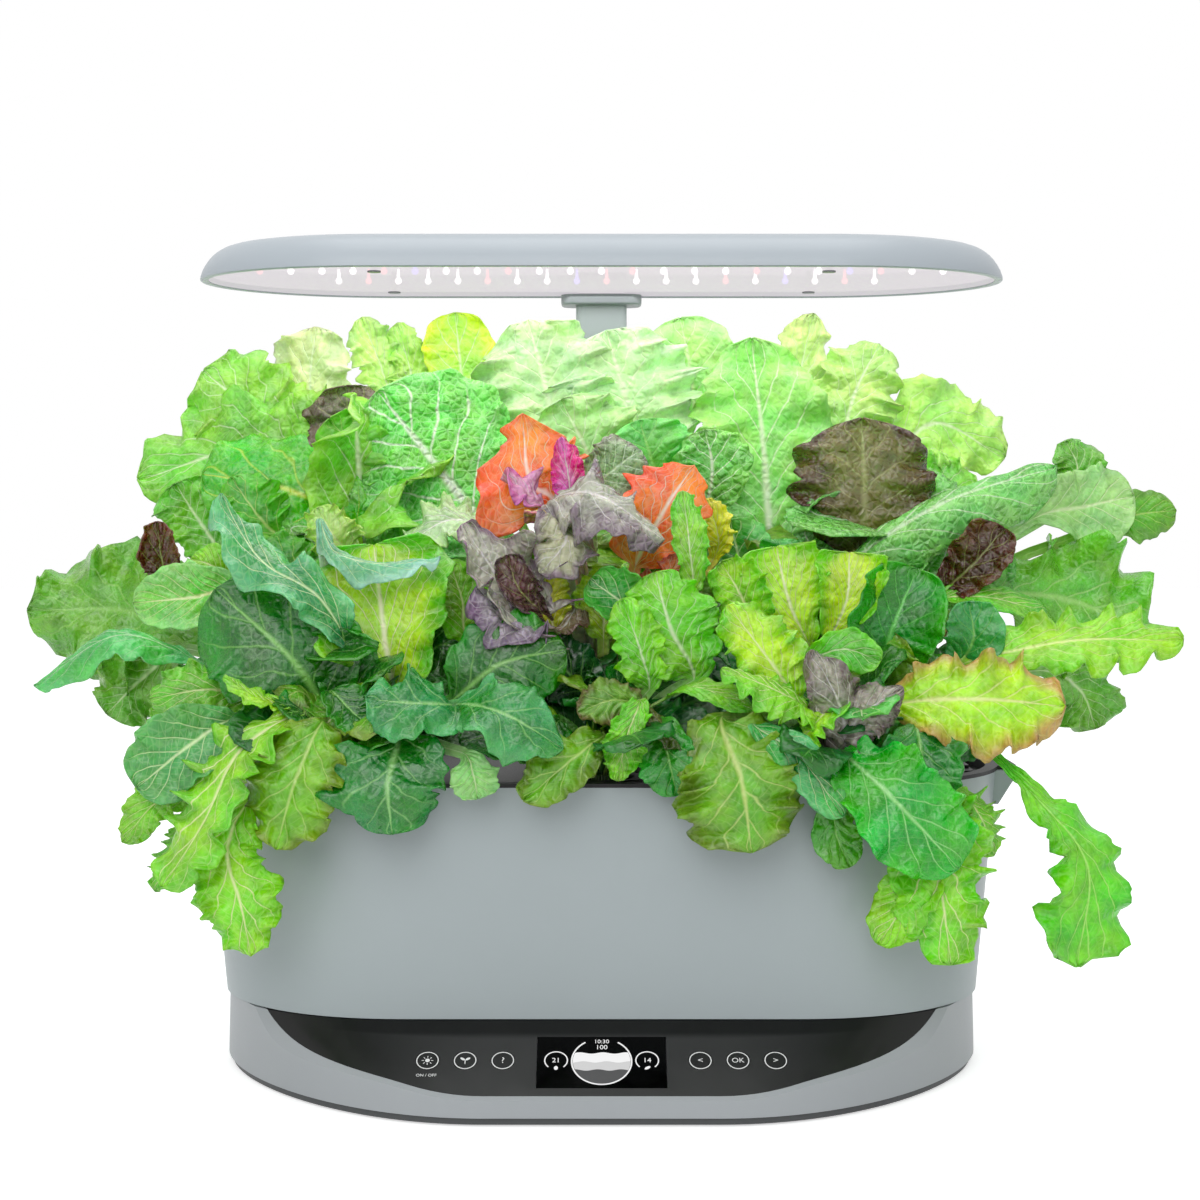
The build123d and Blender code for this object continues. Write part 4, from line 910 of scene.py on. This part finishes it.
# The main leaves, by plant: kind, width, points of the midrib and what sets the leaf apart from its
# kind. The plants are numbered as the pods, from the front left to the back right.
lettuces = (
    (1, "dark", 76, (-141, -70, 195), (-157, -80, 223), (-197, -70, 258), tint(cup=(0.5, -0.3))),
    (1, "fan", 82, (-106, -66, 195), (-111, -66, 232), (-118, -52, 280), {}),
    (1, "butter", 19, (-146, -56, 293), (-136, -70, 277), (-110, -78, 271), (-82, -74, 273),
     tint(110, 180, 140, 170, 220, 196, face=UP, cup=(-1.4, -1.4), matt=0.14, frill=(0.3, 3))),
    (1, "butter", 30, (-128, -76, 227), (-142, -90, 255), (-170, -88, 273), (-194, -70, 306),
     tint(56, 140, 78, 110, 184, 128, frill=(0.42, 3), cup=(0.9, -0.9), matt=0.16, twist=0.7)),
    (1, "dark", 30, (-136, -92, 208), (-124, -102, 198), (-114, -104, 189), tint(face=UP)),
    (1, "lime", 17, (-152, -92, 197), (-169, -98, 204), (-188, -96, 216),
     tint(face=UP, teeth=(0.3, 6), frill=(0.12, 4))),
    (1, "butter", 45, (-183, -90, 194), (-204, -104, 182), (-230, -104, 161),
     tint(74, 142, 74, 92, 158, 92, cup=(0.9, 0.6))),
    (1, "lime", 46, (-150, -96, 197), (-177, -114, 180), (-192, -126, 148), (-213, -124, 115),
     tint(140, 216, 62, 122, 206, 54, face=LEFT, veins=6, patch=0.6)),
    (1, "lime", 43, (-174, -108, 155), (-183, -118, 132), (-176, -122, 106), (-172, -118, 80),
     tint(132, 212, 56, 118, 202, 50, veins=6, patch=0.6)),
    (1, "lime", 22, (-193, -96, 164), (-220, -100, 154), (-239, -98, 133),
     tint(116, 190, 44, 110, 180, 40, teeth=(0.08, 4))),
    (1, "lime", 20, (-204, -90, 147), (-213, -94, 128), (-222, -94, 107),
     tint(96, 176, 38, 96, 170, 40, face=LEFT)),
    (1, "olive", 48, (-138, -104, 194), (-149, -120, 167), (-159, -120, 133),
     tint(112, 176, 50, 116, 140, 52, veins=5, teeth=(0.16, 3))),
    (1, "ivy", 68, (-101, -104, 186), (-104, -122, 165), (-102, -124, 141),
     tint(34, 118, 46, 40, 128, 54, shape=(0.5, 0.5))),
    (1, "ivy", 51, (-74, -100, 201), (-93, -116, 204), (-115, -112, 205),
     tint(40, 122, 58, 72, 152, 88, face=(0, -0.8, 0.8))),
    (1, "ivy", 50, (-72, -100, 202), (-47, -120, 199), (-19, -120, 182),
     tint(44, 126, 62, 84, 160, 96, face=(0, -0.8, 0.7))),
    (1, "dark", 50, (-76, -78, 202), (-51, -84, 221), (-18, -78, 228), tint(cup=(0.3, -0.2))),
    (1, "butter", 25, (-69, -108, 179), (-63, -112, 168), (-61, -112, 157),
     tint(130, 190, 110, 140, 196, 124, cup=(0.2, 0.2))),
    (1, "lime", 28, (-128, -92, 203), (-135, -98, 194), (-145, -98, 183), tint(96, 170, 50, 86, 160, 50)),
    (2, "olive", 30, (1, -96, 186), (-17, -112, 174), (-38, -114, 156),
     tint(cup=(0.3, -0.2), veins=4, teeth=(0.1, 3))),
    (2, "lime", 22, (19, -100, 204), (12, -112, 186), (8, -112, 166), tint(128, 208, 66, 112, 196, 56)),
    (2, "dark", 31, (29, -96, 193), (33, -110, 176), (37, -110, 158), tint(50, 132, 46, 60, 142, 52)),
    (2, "bronze", 20, (19, -92, 197), (31, -102, 188), (46, -104, 181),
     tint(86, 100, 44, 70, 84, 40, face=UP)),
    (2, "frilly", 53, (47, -74, 212), (35, -86, 238), (27, -82, 267), tint(126, 214, 66, 112, 206, 58)),
    (2, "frilly", 30, (24, -84, 208), (19, -96, 229), (10, -94, 254), tint(118, 208, 58, 130, 210, 66)),
    (2, "lime", 20, (33, -88, 204), (49, -98, 210), (75, -100, 198),
     tint(120, 196, 60, 96, 176, 50, face=UP, teeth=(0.05, 3), frill=(0.05, 2))),
    (2, "butter", 36, (30, -60, 231), (13, -70, 249), (-6, -66, 263),
     tint(50, 140, 44, 96, 180, 80, cup=(1.3, 1.2))),
    (2, "dark", 25, (-21, -80, 192), (-27, -92, 183), (-41, -94, 178), {}),
    # This leaf's near-black greens are painted shade for the shadowed gap behind the front leaves.
    (2, "dark", 36, (-6, -50, 199), (-16, -58, 213), (-32, -56, 226), tint(14, 66, 30, 20, 80, 36)),
    (2, "olive", 26, (19, -90, 200), (5, -100, 204), (-12, -102, 198), tint(110, 160, 70, 104, 90, 56)),
    (2, "lime", 25, (46, -56, 252), (45, -62, 280), (42, -56, 308),
     tint(150, 216, 90, 120, 200, 80, 226, 246, 200, cup=(1.2, 1.2))),
    (3, "olive", 71, (60, -100, 196), (68, -122, 167), (73, -124, 132),
     tint(veins=5, rib=(190, 216, 120), teeth=(0.22, 5))),
    (3, "butter", 24, (75, -108, 193), (96, -122, 179), (117, -126, 150),
     tint(66, 158, 84, 104, 186, 116, cup=(-0.8, -0.8), matt=0.2)),
    (3, "lime", 42, (99, -92, 203), (83, -98, 224), (63, -92, 251),
     tint(170, 232, 54, 116, 204, 44, teeth=(0.26, 6))),
    (3, "lime", 28, (105, -98, 198), (86, -110, 210), (59, -112, 221),
     tint(144, 220, 56, 120, 206, 46, face=(0, -0.7, 1), cup=(-0.7, -0.5), teeth=(0.06, 4))),
    (3, "lime", 24, (102, -100, 190), (109, -112, 198), (97, -112, 185), tint(face=UP, teeth=(0.05, 4))),
    (3, "purple", 38, (122, -96, 178), (117, -112, 202), (103, -110, 230),
     tint(150, 146, 132, 112, 92, 96, cup=(-0.8, -0.6), shape=(0.5, 0.7))),
    (3, "purple", 32, (118, -98, 182), (130, -112, 200), (148, -110, 211),
     tint(156, 150, 138, 114, 96, 100, cup=(-0.7, -0.5), shape=(0.5, 0.7))),
    (3, "olive", 58, (145, -86, 200), (185, -104, 205), (229, -102, 201),
     tint(160, 222, 62, 176, 140, 90, 226, 240, 150,
          face=(0, -0.9, 0.5), teeth=(0.16, 5), cup=(0.3, -0.2), patch=0.8)),
    (3, "dark", 42, (155, -98, 193), (157, -112, 175), (156, -112, 155),
     tint(30, 122, 36, 40, 132, 44, teeth=(0.03, 4), cup=(0.5, 0.3))),
    (3, "butter", 53, (119, -104, 179), (141, -126, 159), (173, -128, 125),
     tint(50, 160, 48, 60, 172, 60, 150, 222, 130, teeth=(0.1, 5), frill=(0.14, 5), matt=0.24)),
    (3, "dark", 24, (117, -106, 160), (115, -112, 141), (122, -112, 123), tint(60, 148, 30, 70, 156, 34)),
    (3, "lime", 58, (166, -100, 164), (165, -118, 127), (171, -120, 76),
     tint(128, 216, 50, 118, 208, 46, veins=6, teeth=(0.3, 5))),
    (3, "lime", 32, (163, -106, 125), (150, -116, 107), (137, -114, 85),
     tint(150, 224, 70, 140, 216, 62, face=LEFT, teeth=(0.04, 3), frill=(0.06, 3))),
    (3, "lime", 28, (177, -96, 159), (188, -104, 145), (193, -104, 127), tint(104, 190, 50, face=RIGHT)),
    (3, "lime", 51, (184, -86, 184), (216, -108, 155), (238, -116, 123), (234, -114, 74),
     tint(104, 206, 52, 96, 196, 48, 170, 236, 110,
          face=(0.25, -0.95, 0.3), shape=(1.7, 0.35), teeth=(0.26, 6), veins=7)),
    (3, "butter", 22, (103, -84, 219), (120, -92, 229), (139, -92, 223), tint(84, 176, 52, 110, 196, 70)),
    (4, "lime", 36, (-183, -50, 199), (-201, -64, 206), (-233, -62, 201), tint(110, 186, 70, 104, 176, 66)),
    (4, "dark", 42, (-189, -20, 218), (-205, -36, 203), (-223, -36, 187), {}),
    (4, "savoy", 99, (-214, 10, 229), (-269, 26, 242), (-320, 24, 242),
     tint(106, 164, 66, 112, 170, 70, 132, 186, 84,
          frill=(0.26, 4), teeth=(0.34, 4), shape=(0.6, 0.6), matt=0.26, puff=0.8, fold=12.0)),
    (4, "frilly", 50, (-226, 4, 222), (-257, 18, 202), (-274, 14, 185), tint(104, 160, 66, 112, 168, 72)),
    (4, "bronze", 24, (-232, 0, 247), (-238, -4, 268), (-241, -4, 292),
     tint(74, 34, 22, 92, 44, 28, cup=(0.8, 0.8))),
    (4, "butter", 30, (-209, -36, 217), (-251, -52, 233), (-295, -50, 206),
     tint(82, 172, 92, 104, 190, 116, 170, 220, 160,
          face=(0, -0.5, 1), cup=(-0.7, -0.9), frill=(0.12, 4), matt=0.2)),
    (4, "lime", 39, (-194, -22, 254), (-217, -34, 252), (-248, -32, 249),
     tint(120, 204, 92, 150, 220, 130, teeth=(0.02, 3), frill=(0.04, 3), cup=(0.6, 0.2), matt=0.26)),
    (4, "lime", 23, (-197, -14, 258), (-207, -22, 268), (-219, -20, 272),
     tint(teeth=(0.02, 3), frill=(0.03, 2))),
    (4, "lime", 31, (-205, -40, 204), (-220, -52, 193), (-236, -50, 184),
     tint(118, 196, 66, 110, 186, 60, face=LEFT)),
    (4, "lime", 33, (-133, -30, 272), (-140, -40, 284), (-149, -36, 299),
     tint(200, 240, 150, 190, 236, 120, cup=(0.9, 0.9), matt=0.16)),
    (4, "olive", 44, (-166, 10, 271), (-186, 4, 293), (-203, 8, 316), tint(76, 158, 50, 104, 186, 70)),
    (4, "olive", 38, (-153, -10, 250), (-167, -18, 266), (-186, -14, 282), tint(64, 140, 50, 84, 160, 60)),
    (5, "purple", 55, (-24, -50, 231), (-44, -66, 252), (-72, -58, 291),
     tint(176, 176, 160, 128, 100, 122, face=(0.3, -0.9, 0.4), cup=(1.5, 1.4), frill=(0.34, 4))),
    (5, "bronze", 25, (-28, -58, 242), (-42, -72, 258), (-48, -70, 275),
     tint(96, 60, 66, 70, 44, 56, cup=(1.2, 1.2))),
    (5, "purple", 39, (-24, -58, 236), (-42, -72, 241), (-65, -72, 258),
     tint(150, 140, 150, 106, 80, 110, face=UP, cup=(-0.5, -0.7))),
    (5, "purple", 24, (-9, -44, 251), (-21, -66, 237), (-37, -68, 238),
     tint(136, 120, 96, 104, 74, 70, face=UP, cup=(-0.5, -0.6))),
    (5, "purple", 53, (-28, -44, 297), (-3, -66, 306), (32, -66, 283),
     tint(172, 176, 156, 128, 112, 122, 226, 228, 216, face=(0, -0.6, 0.9), cup=(-0.5, -0.9))),
    (5, "purple", 36, (-26, -50, 293), (-18, -72, 283), (-31, -76, 266),
     tint(168, 172, 140, 124, 106, 118, face=(0, -0.7, 0.8), cup=(-0.5, -0.9))),
    (5, "savoy", 35, (-6, -16, 304), (7, -22, 320), (21, -18, 330), tint(146, 176, 130, 136, 130, 120)),
    (5, "maple", 79, (-22, -30, 298), (-38, -32, 315), (-42, -22, 349), tint(sweep=0.8)),
    (5, "maple", 68, (18, -32, 269), (34, -38, 300), (49, -32, 322),
     tint(252, 122, 62, 244, 96, 44, sweep=0.8)),
    (5, "purple", 19, (-15, -44, 293), (-17, -46, 314), (-21, -42, 336),
     tint(232, 120, 190, 226, 60, 150, frill=(0.3, 6))),
    (5, "purple", 28, (-24, -30, 288), (-35, -40, 304), (-53, -40, 314),
     tint(226, 170, 200, 206, 120, 180, face=UP, cup=(0.6, 0.9))),
    (5, "purple", 24, (-11, -40, 283), (-21, -56, 293), (-40, -58, 296),
     tint(224, 196, 120, 208, 130, 150, face=UP)),
    (5, "lime", 31, (-22, -52, 231), (-30, -58, 252), (-37, -52, 272),
     tint(196, 206, 66, 170, 190, 60, 232, 240, 170)),
    (5, "lime", 36, (1, -50, 231), (2, -56, 250), (8, -52, 269),
     tint(166, 206, 66, 140, 190, 60, 226, 240, 170)),
    (5, "maple", 26, (20, -40, 251), (33, -46, 262), (43, -44, 276), tint(208, 110, 60, 160, 70, 60)),
    (5, "lime", 35, (-69, -40, 230), (-73, -44, 251), (-80, -40, 272), tint(130, 190, 60)),
    (5, "lime", 32, (-54, -20, 282), (-80, -30, 293), (-107, -32, 278),
     tint(196, 232, 170, 170, 216, 140, 240, 250, 226, face=(0, -0.6, 0.9), teeth=(0.03, 3), matt=0.2)),
    (5, "lime", 22, (60, -10, 271), (62, -14, 288), (55, -12, 304),
     tint(214, 226, 60, 226, 226, 90, teeth=(0.3, 4))),
    (6, "savoy", 95, (212, 12, 249), (261, 24, 248), (308, 20, 226),
     tint(106, 176, 70, 114, 180, 72, 150, 204, 108,
          frill=(0.26, 4), teeth=(0.34, 4), shape=(0.6, 0.6), matt=0.26, puff=0.8, fold=12.0)),
    (6, "frilly", 50, (241, 6, 210), (266, 18, 198), (274, 14, 177), tint(112, 178, 74, 120, 184, 80)),
    (6, "bronze", 36, (184, -4, 252), (200, -10, 268), (218, -6, 288),
     tint(66, 32, 20, 88, 46, 28, cup=(1.0, 0.9))),
    (6, "lime", 43, (189, -40, 217), (246, -56, 231), (301, -54, 230),
     tint(150, 226, 66, 134, 208, 66, 222, 246, 150, face=(0, -0.8, 0.7), veins=9, teeth=(0.22, 6))),
    (6, "dark", 58, (145, -50, 210), (150, -58, 236), (164, -52, 268),
     tint(30, 126, 30, 56, 156, 50, 110, 210, 90, cup=(1.1, 1.0), veins=7, teeth=(0.02, 3))),
    (6, "dark", 34, (185, -34, 214), (195, -42, 230), (193, -38, 250),
     tint(66, 150, 84, 84, 166, 100, cup=(0.8, 0.6), teeth=(0.02, 3))),
    (6, "fan", 50, (110, -44, 225), (98, -52, 249), (91, -46, 279),
     tint(186, 240, 50, 126, 210, 40, veins=7)),
    (6, "fan", 47, (118, -46, 225), (127, -54, 252), (129, -48, 276),
     tint(190, 242, 50, 120, 208, 40, veins=8, cup=(1.3, 1.0))),
    (6, "lime", 34, (83, -50, 231), (72, -58, 254), (62, -54, 271),
     tint(156, 222, 66, 120, 204, 56, teeth=(0.02, 3), cup=(1.2, 1.0))),
    (6, "lime", 27, (178, -10, 247), (205, -18, 251), (239, -18, 244),
     tint(110, 196, 66, 100, 186, 60, face=(0, -0.6, 1), frill=(0.04, 3), teeth=(0.04, 3))),
    (6, "olive", 23, (176, -20, 229), (201, -28, 233), (223, -28, 224),
     tint(150, 140, 90, 140, 110, 80, face=UP)),
    (6, "dark", 31, (87, -60, 205), (79, -66, 221), (78, -60, 242), tint(20, 84, 30, 30, 100, 40)),
    (6, "dark", 37, (105, -30, 251), (100, -34, 267), (105, -28, 282), tint(44, 130, 44, 64, 150, 60)),
    (7, "frilly", 75, (-154, 46, 304), (-201, 56, 332), (-265, 58, 315), tint(122, 196, 80, 132, 198, 88)),
    (7, "frilly", 81, (-156, 60, 315), (-196, 68, 350), (-230, 70, 378), tint(140, 206, 90, 150, 212, 100)),
    (7, "frilly", 59, (-143, 76, 321), (-169, 84, 362), (-167, 88, 405),
     tint(214, 244, 170, 222, 246, 184, blister=3.2)),
    (7, "frilly", 41, (-121, 86, 339), (-127, 92, 374), (-141, 92, 411),
     tint(186, 240, 136, 190, 242, 146, teeth=(0.4, 6))),
    (7, "frilly", 35, (-106, 84, 345), (-111, 90, 374), (-120, 92, 408),
     tint(172, 236, 120, 182, 240, 126, teeth=(0.4, 6))),
    (7, "bronze", 51, (-135, 62, 315), (-143, 58, 340), (-146, 56, 369), tint(118, 108, 96, 98, 80, 66)),
    (7, "ivy", 72, (-136, 20, 287), (-171, 12, 309), (-220, 14, 318),
     tint(80, 184, 56, 96, 190, 70, 206, 226, 70, shape=(0.6, 0.4), teeth=(0.16, 4), blister=2.0)),
    (7, "olive", 50, (-141, 30, 304), (-139, 24, 331), (-151, 26, 348), tint(108, 190, 76, 120, 196, 84)),
    (7, "frilly", 51, (-210, 40, 270), (-228, 44, 292), (-241, 44, 313), tint(110, 184, 72, 116, 188, 78)),
    (8, "savoy", 101, (-56, 22, 277), (-90, 28, 320), (-125, 32, 364),
     tint(120, 214, 100, 140, 226, 120, 226, 250, 214, shape=(0.6, 0.42), blister=4.0)),
    (8, "butter", 46, (-79, 84, 339), (-82, 90, 374), (-86, 92, 414),
     tint(172, 236, 100, 200, 244, 90, teeth=(0.02, 3))),
    (8, "frilly", 86, (-24, 52, 327), (-31, 58, 364), (-42, 64, 407),
     tint(190, 240, 168, 200, 244, 180, blister=3.2)),
    (8, "frilly", 98, (22, 52, 315), (14, 58, 361), (3, 60, 401),
     tint(186, 240, 166, 202, 244, 184, blister=3.4)),
    (8, "frilly", 85, (-1, 44, 304), (-6, 40, 326), (-23, 40, 360), tint(176, 236, 150, 190, 240, 160)),
    (8, "butter", 56, (52, 78, 346), (52, 84, 379), (46, 86, 410), tint(170, 234, 140, 180, 238, 150)),
    (8, "dark", 50, (33, 26, 304), (27, 22, 328), (21, 24, 348), tint(92, 174, 84, 104, 186, 96)),
    (8, "savoy", 44, (55, 20, 293), (61, 14, 320), (57, 16, 342), tint(112, 190, 92, 128, 204, 104)),
    (9, "frilly", 85, (96, 30, 270), (92, 40, 326), (85, 48, 395),
     tint(150, 232, 116, 166, 236, 130, 214, 244, 190, teeth=(0.16, 7))),
    (9, "frilly", 47, (119, 80, 316), (115, 86, 365), (124, 90, 413),
     tint(206, 246, 150, 216, 248, 160, twist=0.4)),
    (9, "frilly", 58, (138, 72, 321), (146, 78, 362), (162, 80, 395), tint(186, 240, 136, 196, 244, 146)),
    (9, "frilly", 64, (156, 72, 304), (192, 80, 348), (235, 80, 328), tint(172, 236, 120, 184, 240, 130)),
    (9, "frilly", 58, (154, 56, 281), (186, 60, 304), (217, 60, 310), tint(130, 206, 90, 140, 212, 98)),
    (9, "bronze", 82, (144, 14, 271), (144, 8, 309), (143, 14, 348),
     tint(112, 104, 58, 72, 44, 32, shape=(0.6, 0.4), blister=4.2, matt=0.18)),
    (9, "savoy", 60, (129, -6, 262), (183, -6, 301), (249, 8, 321),
     tint(128, 208, 110, face=(0, -0.6, 0.8), cup=(-1.8, -1.8), blister=0.8, rib=(200, 240, 180), matt=0.22)),
    (9, "butter", 48, (242, 40, 292), (274, 46, 300), (302, 46, 306),
     tint(150, 206, 126, 160, 212, 136, cup=(0.3, 0.1), teeth=(0.03, 3))),
    (9, "frilly", 34, (251, 54, 292), (272, 58, 318), (266, 58, 338), tint(110, 180, 74, 110, 176, 74)),
    (9, "olive", 32, (281, 50, 287), (304, 52, 295), (328, 52, 298),
     tint(90, 156, 50, 96, 140, 60, frill=(0.04, 3), teeth=(0.03, 3))),
    # A leaf of the kind whose dark greens are painted shade.
    (9, "deep", 39, (55, 30, 293), (54, 34, 315), (50, 34, 337), {}),
    (9, "butter", 38, (76, 0, 249), (75, 2, 271), (70, 2, 293), {}),
    (9, "savoy", 61, (166, 20, 248), (200, 24, 270), (227, 22, 282), tint(100, 186, 76, 112, 194, 84)),
)

# The young leaves round each crown, ring by ring: kinds in turn, how many, reach and rise.
# The first ring of each plant is mostly of the kind whose dark greens are painted shade, filling the shadowed
# middle.
hearts = {
    1: [(("deep", "dark", "deep"), 12, 78, 40), (("dark", "butter", "olive"), 9, 60, 66)],
    2: [(("deep", "deep", "dark"), 12, 78, 40), (("dark", "lime", "olive"), 8, 52, 54)],
    3: [(("deep", "dark", "deep"), 12, 78, 40), (("olive", "butter", "dark"), 9, 60, 66)],
    4: [(("deep",), 12, 86, 60), (("olive", "dark", "butter"), 9, 70, 100)],
    5: [(("deep",), 14, 86, 60), (("dark", "lime", "olive"), 8, 60, 100)],
    6: [(("deep",), 12, 86, 60), (("olive", "butter", "dark"), 9, 70, 100)],
    7: [(("deep",), 12, 90, 80), (("frilly", "olive", "savoy"), 10, 80, 170)],
    8: [(("deep",), 14, 90, 80), (("frilly", "savoy", "olive"), 10, 66, 170)],
    9: [(("deep",), 12, 90, 80), (("frilly", "olive", "savoy"), 10, 80, 170)],
}

for number, rings in hearts.items():
    column, row = (number - 1) % 3, (number - 1) // 3
    crown = Vector((pod_columns[column], pod_rows[row], crown_height)) * mm
    grown = []
    for ring, (mixture, count, reach, rise) in enumerate(rings):
        grown += heart(crown, mixture, count, reach, rise, 10 * ring + number)
    for seed, (plant_number, kind, width, *path, changes) in enumerate(lettuces, first_leaf_seed):
        if plant_number == number:
            grown.append(grow_leaf(crown, kind, path, width, seed, **changes))
    plant = join(f"lettuce_{number}", grown)
    thicken(plant, leaf_thickness)
    plant = join(f"lettuce_{number}", [plant, crown_stub(crown)])
    plant.data.materials.clear()
    plant.data.materials.append(leaf_skin)
    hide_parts(f"plant_{number}")
    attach(plant, f"pod_{number}")

# ---------------------------------------------------------------------------------------------
# Studio: pale floor, soft daylight from all round with a large softbox in front and one above,
# and a camera at eye level with the middle of the garden.

floor = add("floor", bpy.ops.mesh.primitive_plane_add, size=12)
floor_finish, nodes, links, shader = new_finish("floor_white", 0.9)


def seen_directly(nodes, links):
    """1 where the camera, a reflection or a see-through piece looks at the surface, otherwise 0."""
    rays = nodes.new("ShaderNodeLightPath")
    mirrored = maths(nodes, links, "MAXIMUM", rays.outputs["Is Camera Ray"], rays.outputs["Is Glossy Ray"])
    return maths(nodes, links, "MAXIMUM", mirrored, rays.outputs["Is Transmission Ray"])


shader.inputs["Base Color"].default_value = (0.86, 0.86, 0.86, 1)
shader.inputs["Emission Color"].default_value = (1, 1, 1, 1)
floor_glow = ramp(nodes, links, seen_directly(nodes, links), 0, 1, 0, 0.55, "LINEAR")
links.new(floor_glow, shader.inputs["Emission Strength"])
floor.data.materials.append(floor_finish)

world = bpy.data.worlds.new("studio")
bpy.context.scene.world = world
world.use_nodes = True
nodes, links = world.node_tree.nodes, world.node_tree.links
nodes.clear()
choice = nodes.new("ShaderNodeMixShader")
links.new(seen_directly(nodes, links), choice.inputs["Fac"])
for place, colour, strength in ((1, (0.96, 0.98, 1.0, 1), 0.55), (2, (1, 1, 1, 1), 1.0)):
    light = nodes.new("ShaderNodeBackground")
    light.inputs["Color"].default_value = colour
    light.inputs["Strength"].default_value = strength
    links.new(light.outputs[0], choice.inputs[place])
output = nodes.new("ShaderNodeOutputWorld")
links.new(choice.outputs[0], output.inputs["Surface"])


def area_lamp(name, place, size, energy, target=None):
    """A square lamp that faces a point, or straight down."""
    bpy.ops.object.light_add(type="AREA", location=place)
    lamp = bpy.context.active_object
    lamp.name = name
    lamp.data.size = size
    lamp.data.energy = energy
    if target:
        lamp.rotation_euler = (Vector(target) - Vector(place)).to_track_quat("-Z", "Y").to_euler()
    return lamp


area_lamp("front_softbox", (-0.3, -1.6, 1.3), 1.4, 16, (0, 0, 0.2))
area_lamp("top_softbox", (0, 0.1, 1.9), 1.2, 10, (0, 0, 0.2))

grow_light = area_lamp("grow_light", (0, hood_middle * mm, 422 * mm), 0.40, 0.28)
grow_light.data.shape = "RECTANGLE"
grow_light.data.size_y = 0.11
grow_light.data.color = (1.0, 0.97, 0.98)
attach(grow_light, "lamp")

focal_pixels, picture_pixels = 1991.0, 1200.0
looks_down = 2.74              # degrees
bpy.ops.object.camera_add(location=(-0.0008, -1.0852, 0.3011), rotation=(math.radians(90 - looks_down), 0, 0))
camera = bpy.context.active_object
camera.data.sensor_width = 36.0
camera.data.lens = 36.0 * focal_pixels / picture_pixels
bpy.context.scene.camera = camera
bpy.context.scene.view_settings.view_transform = "Standard"
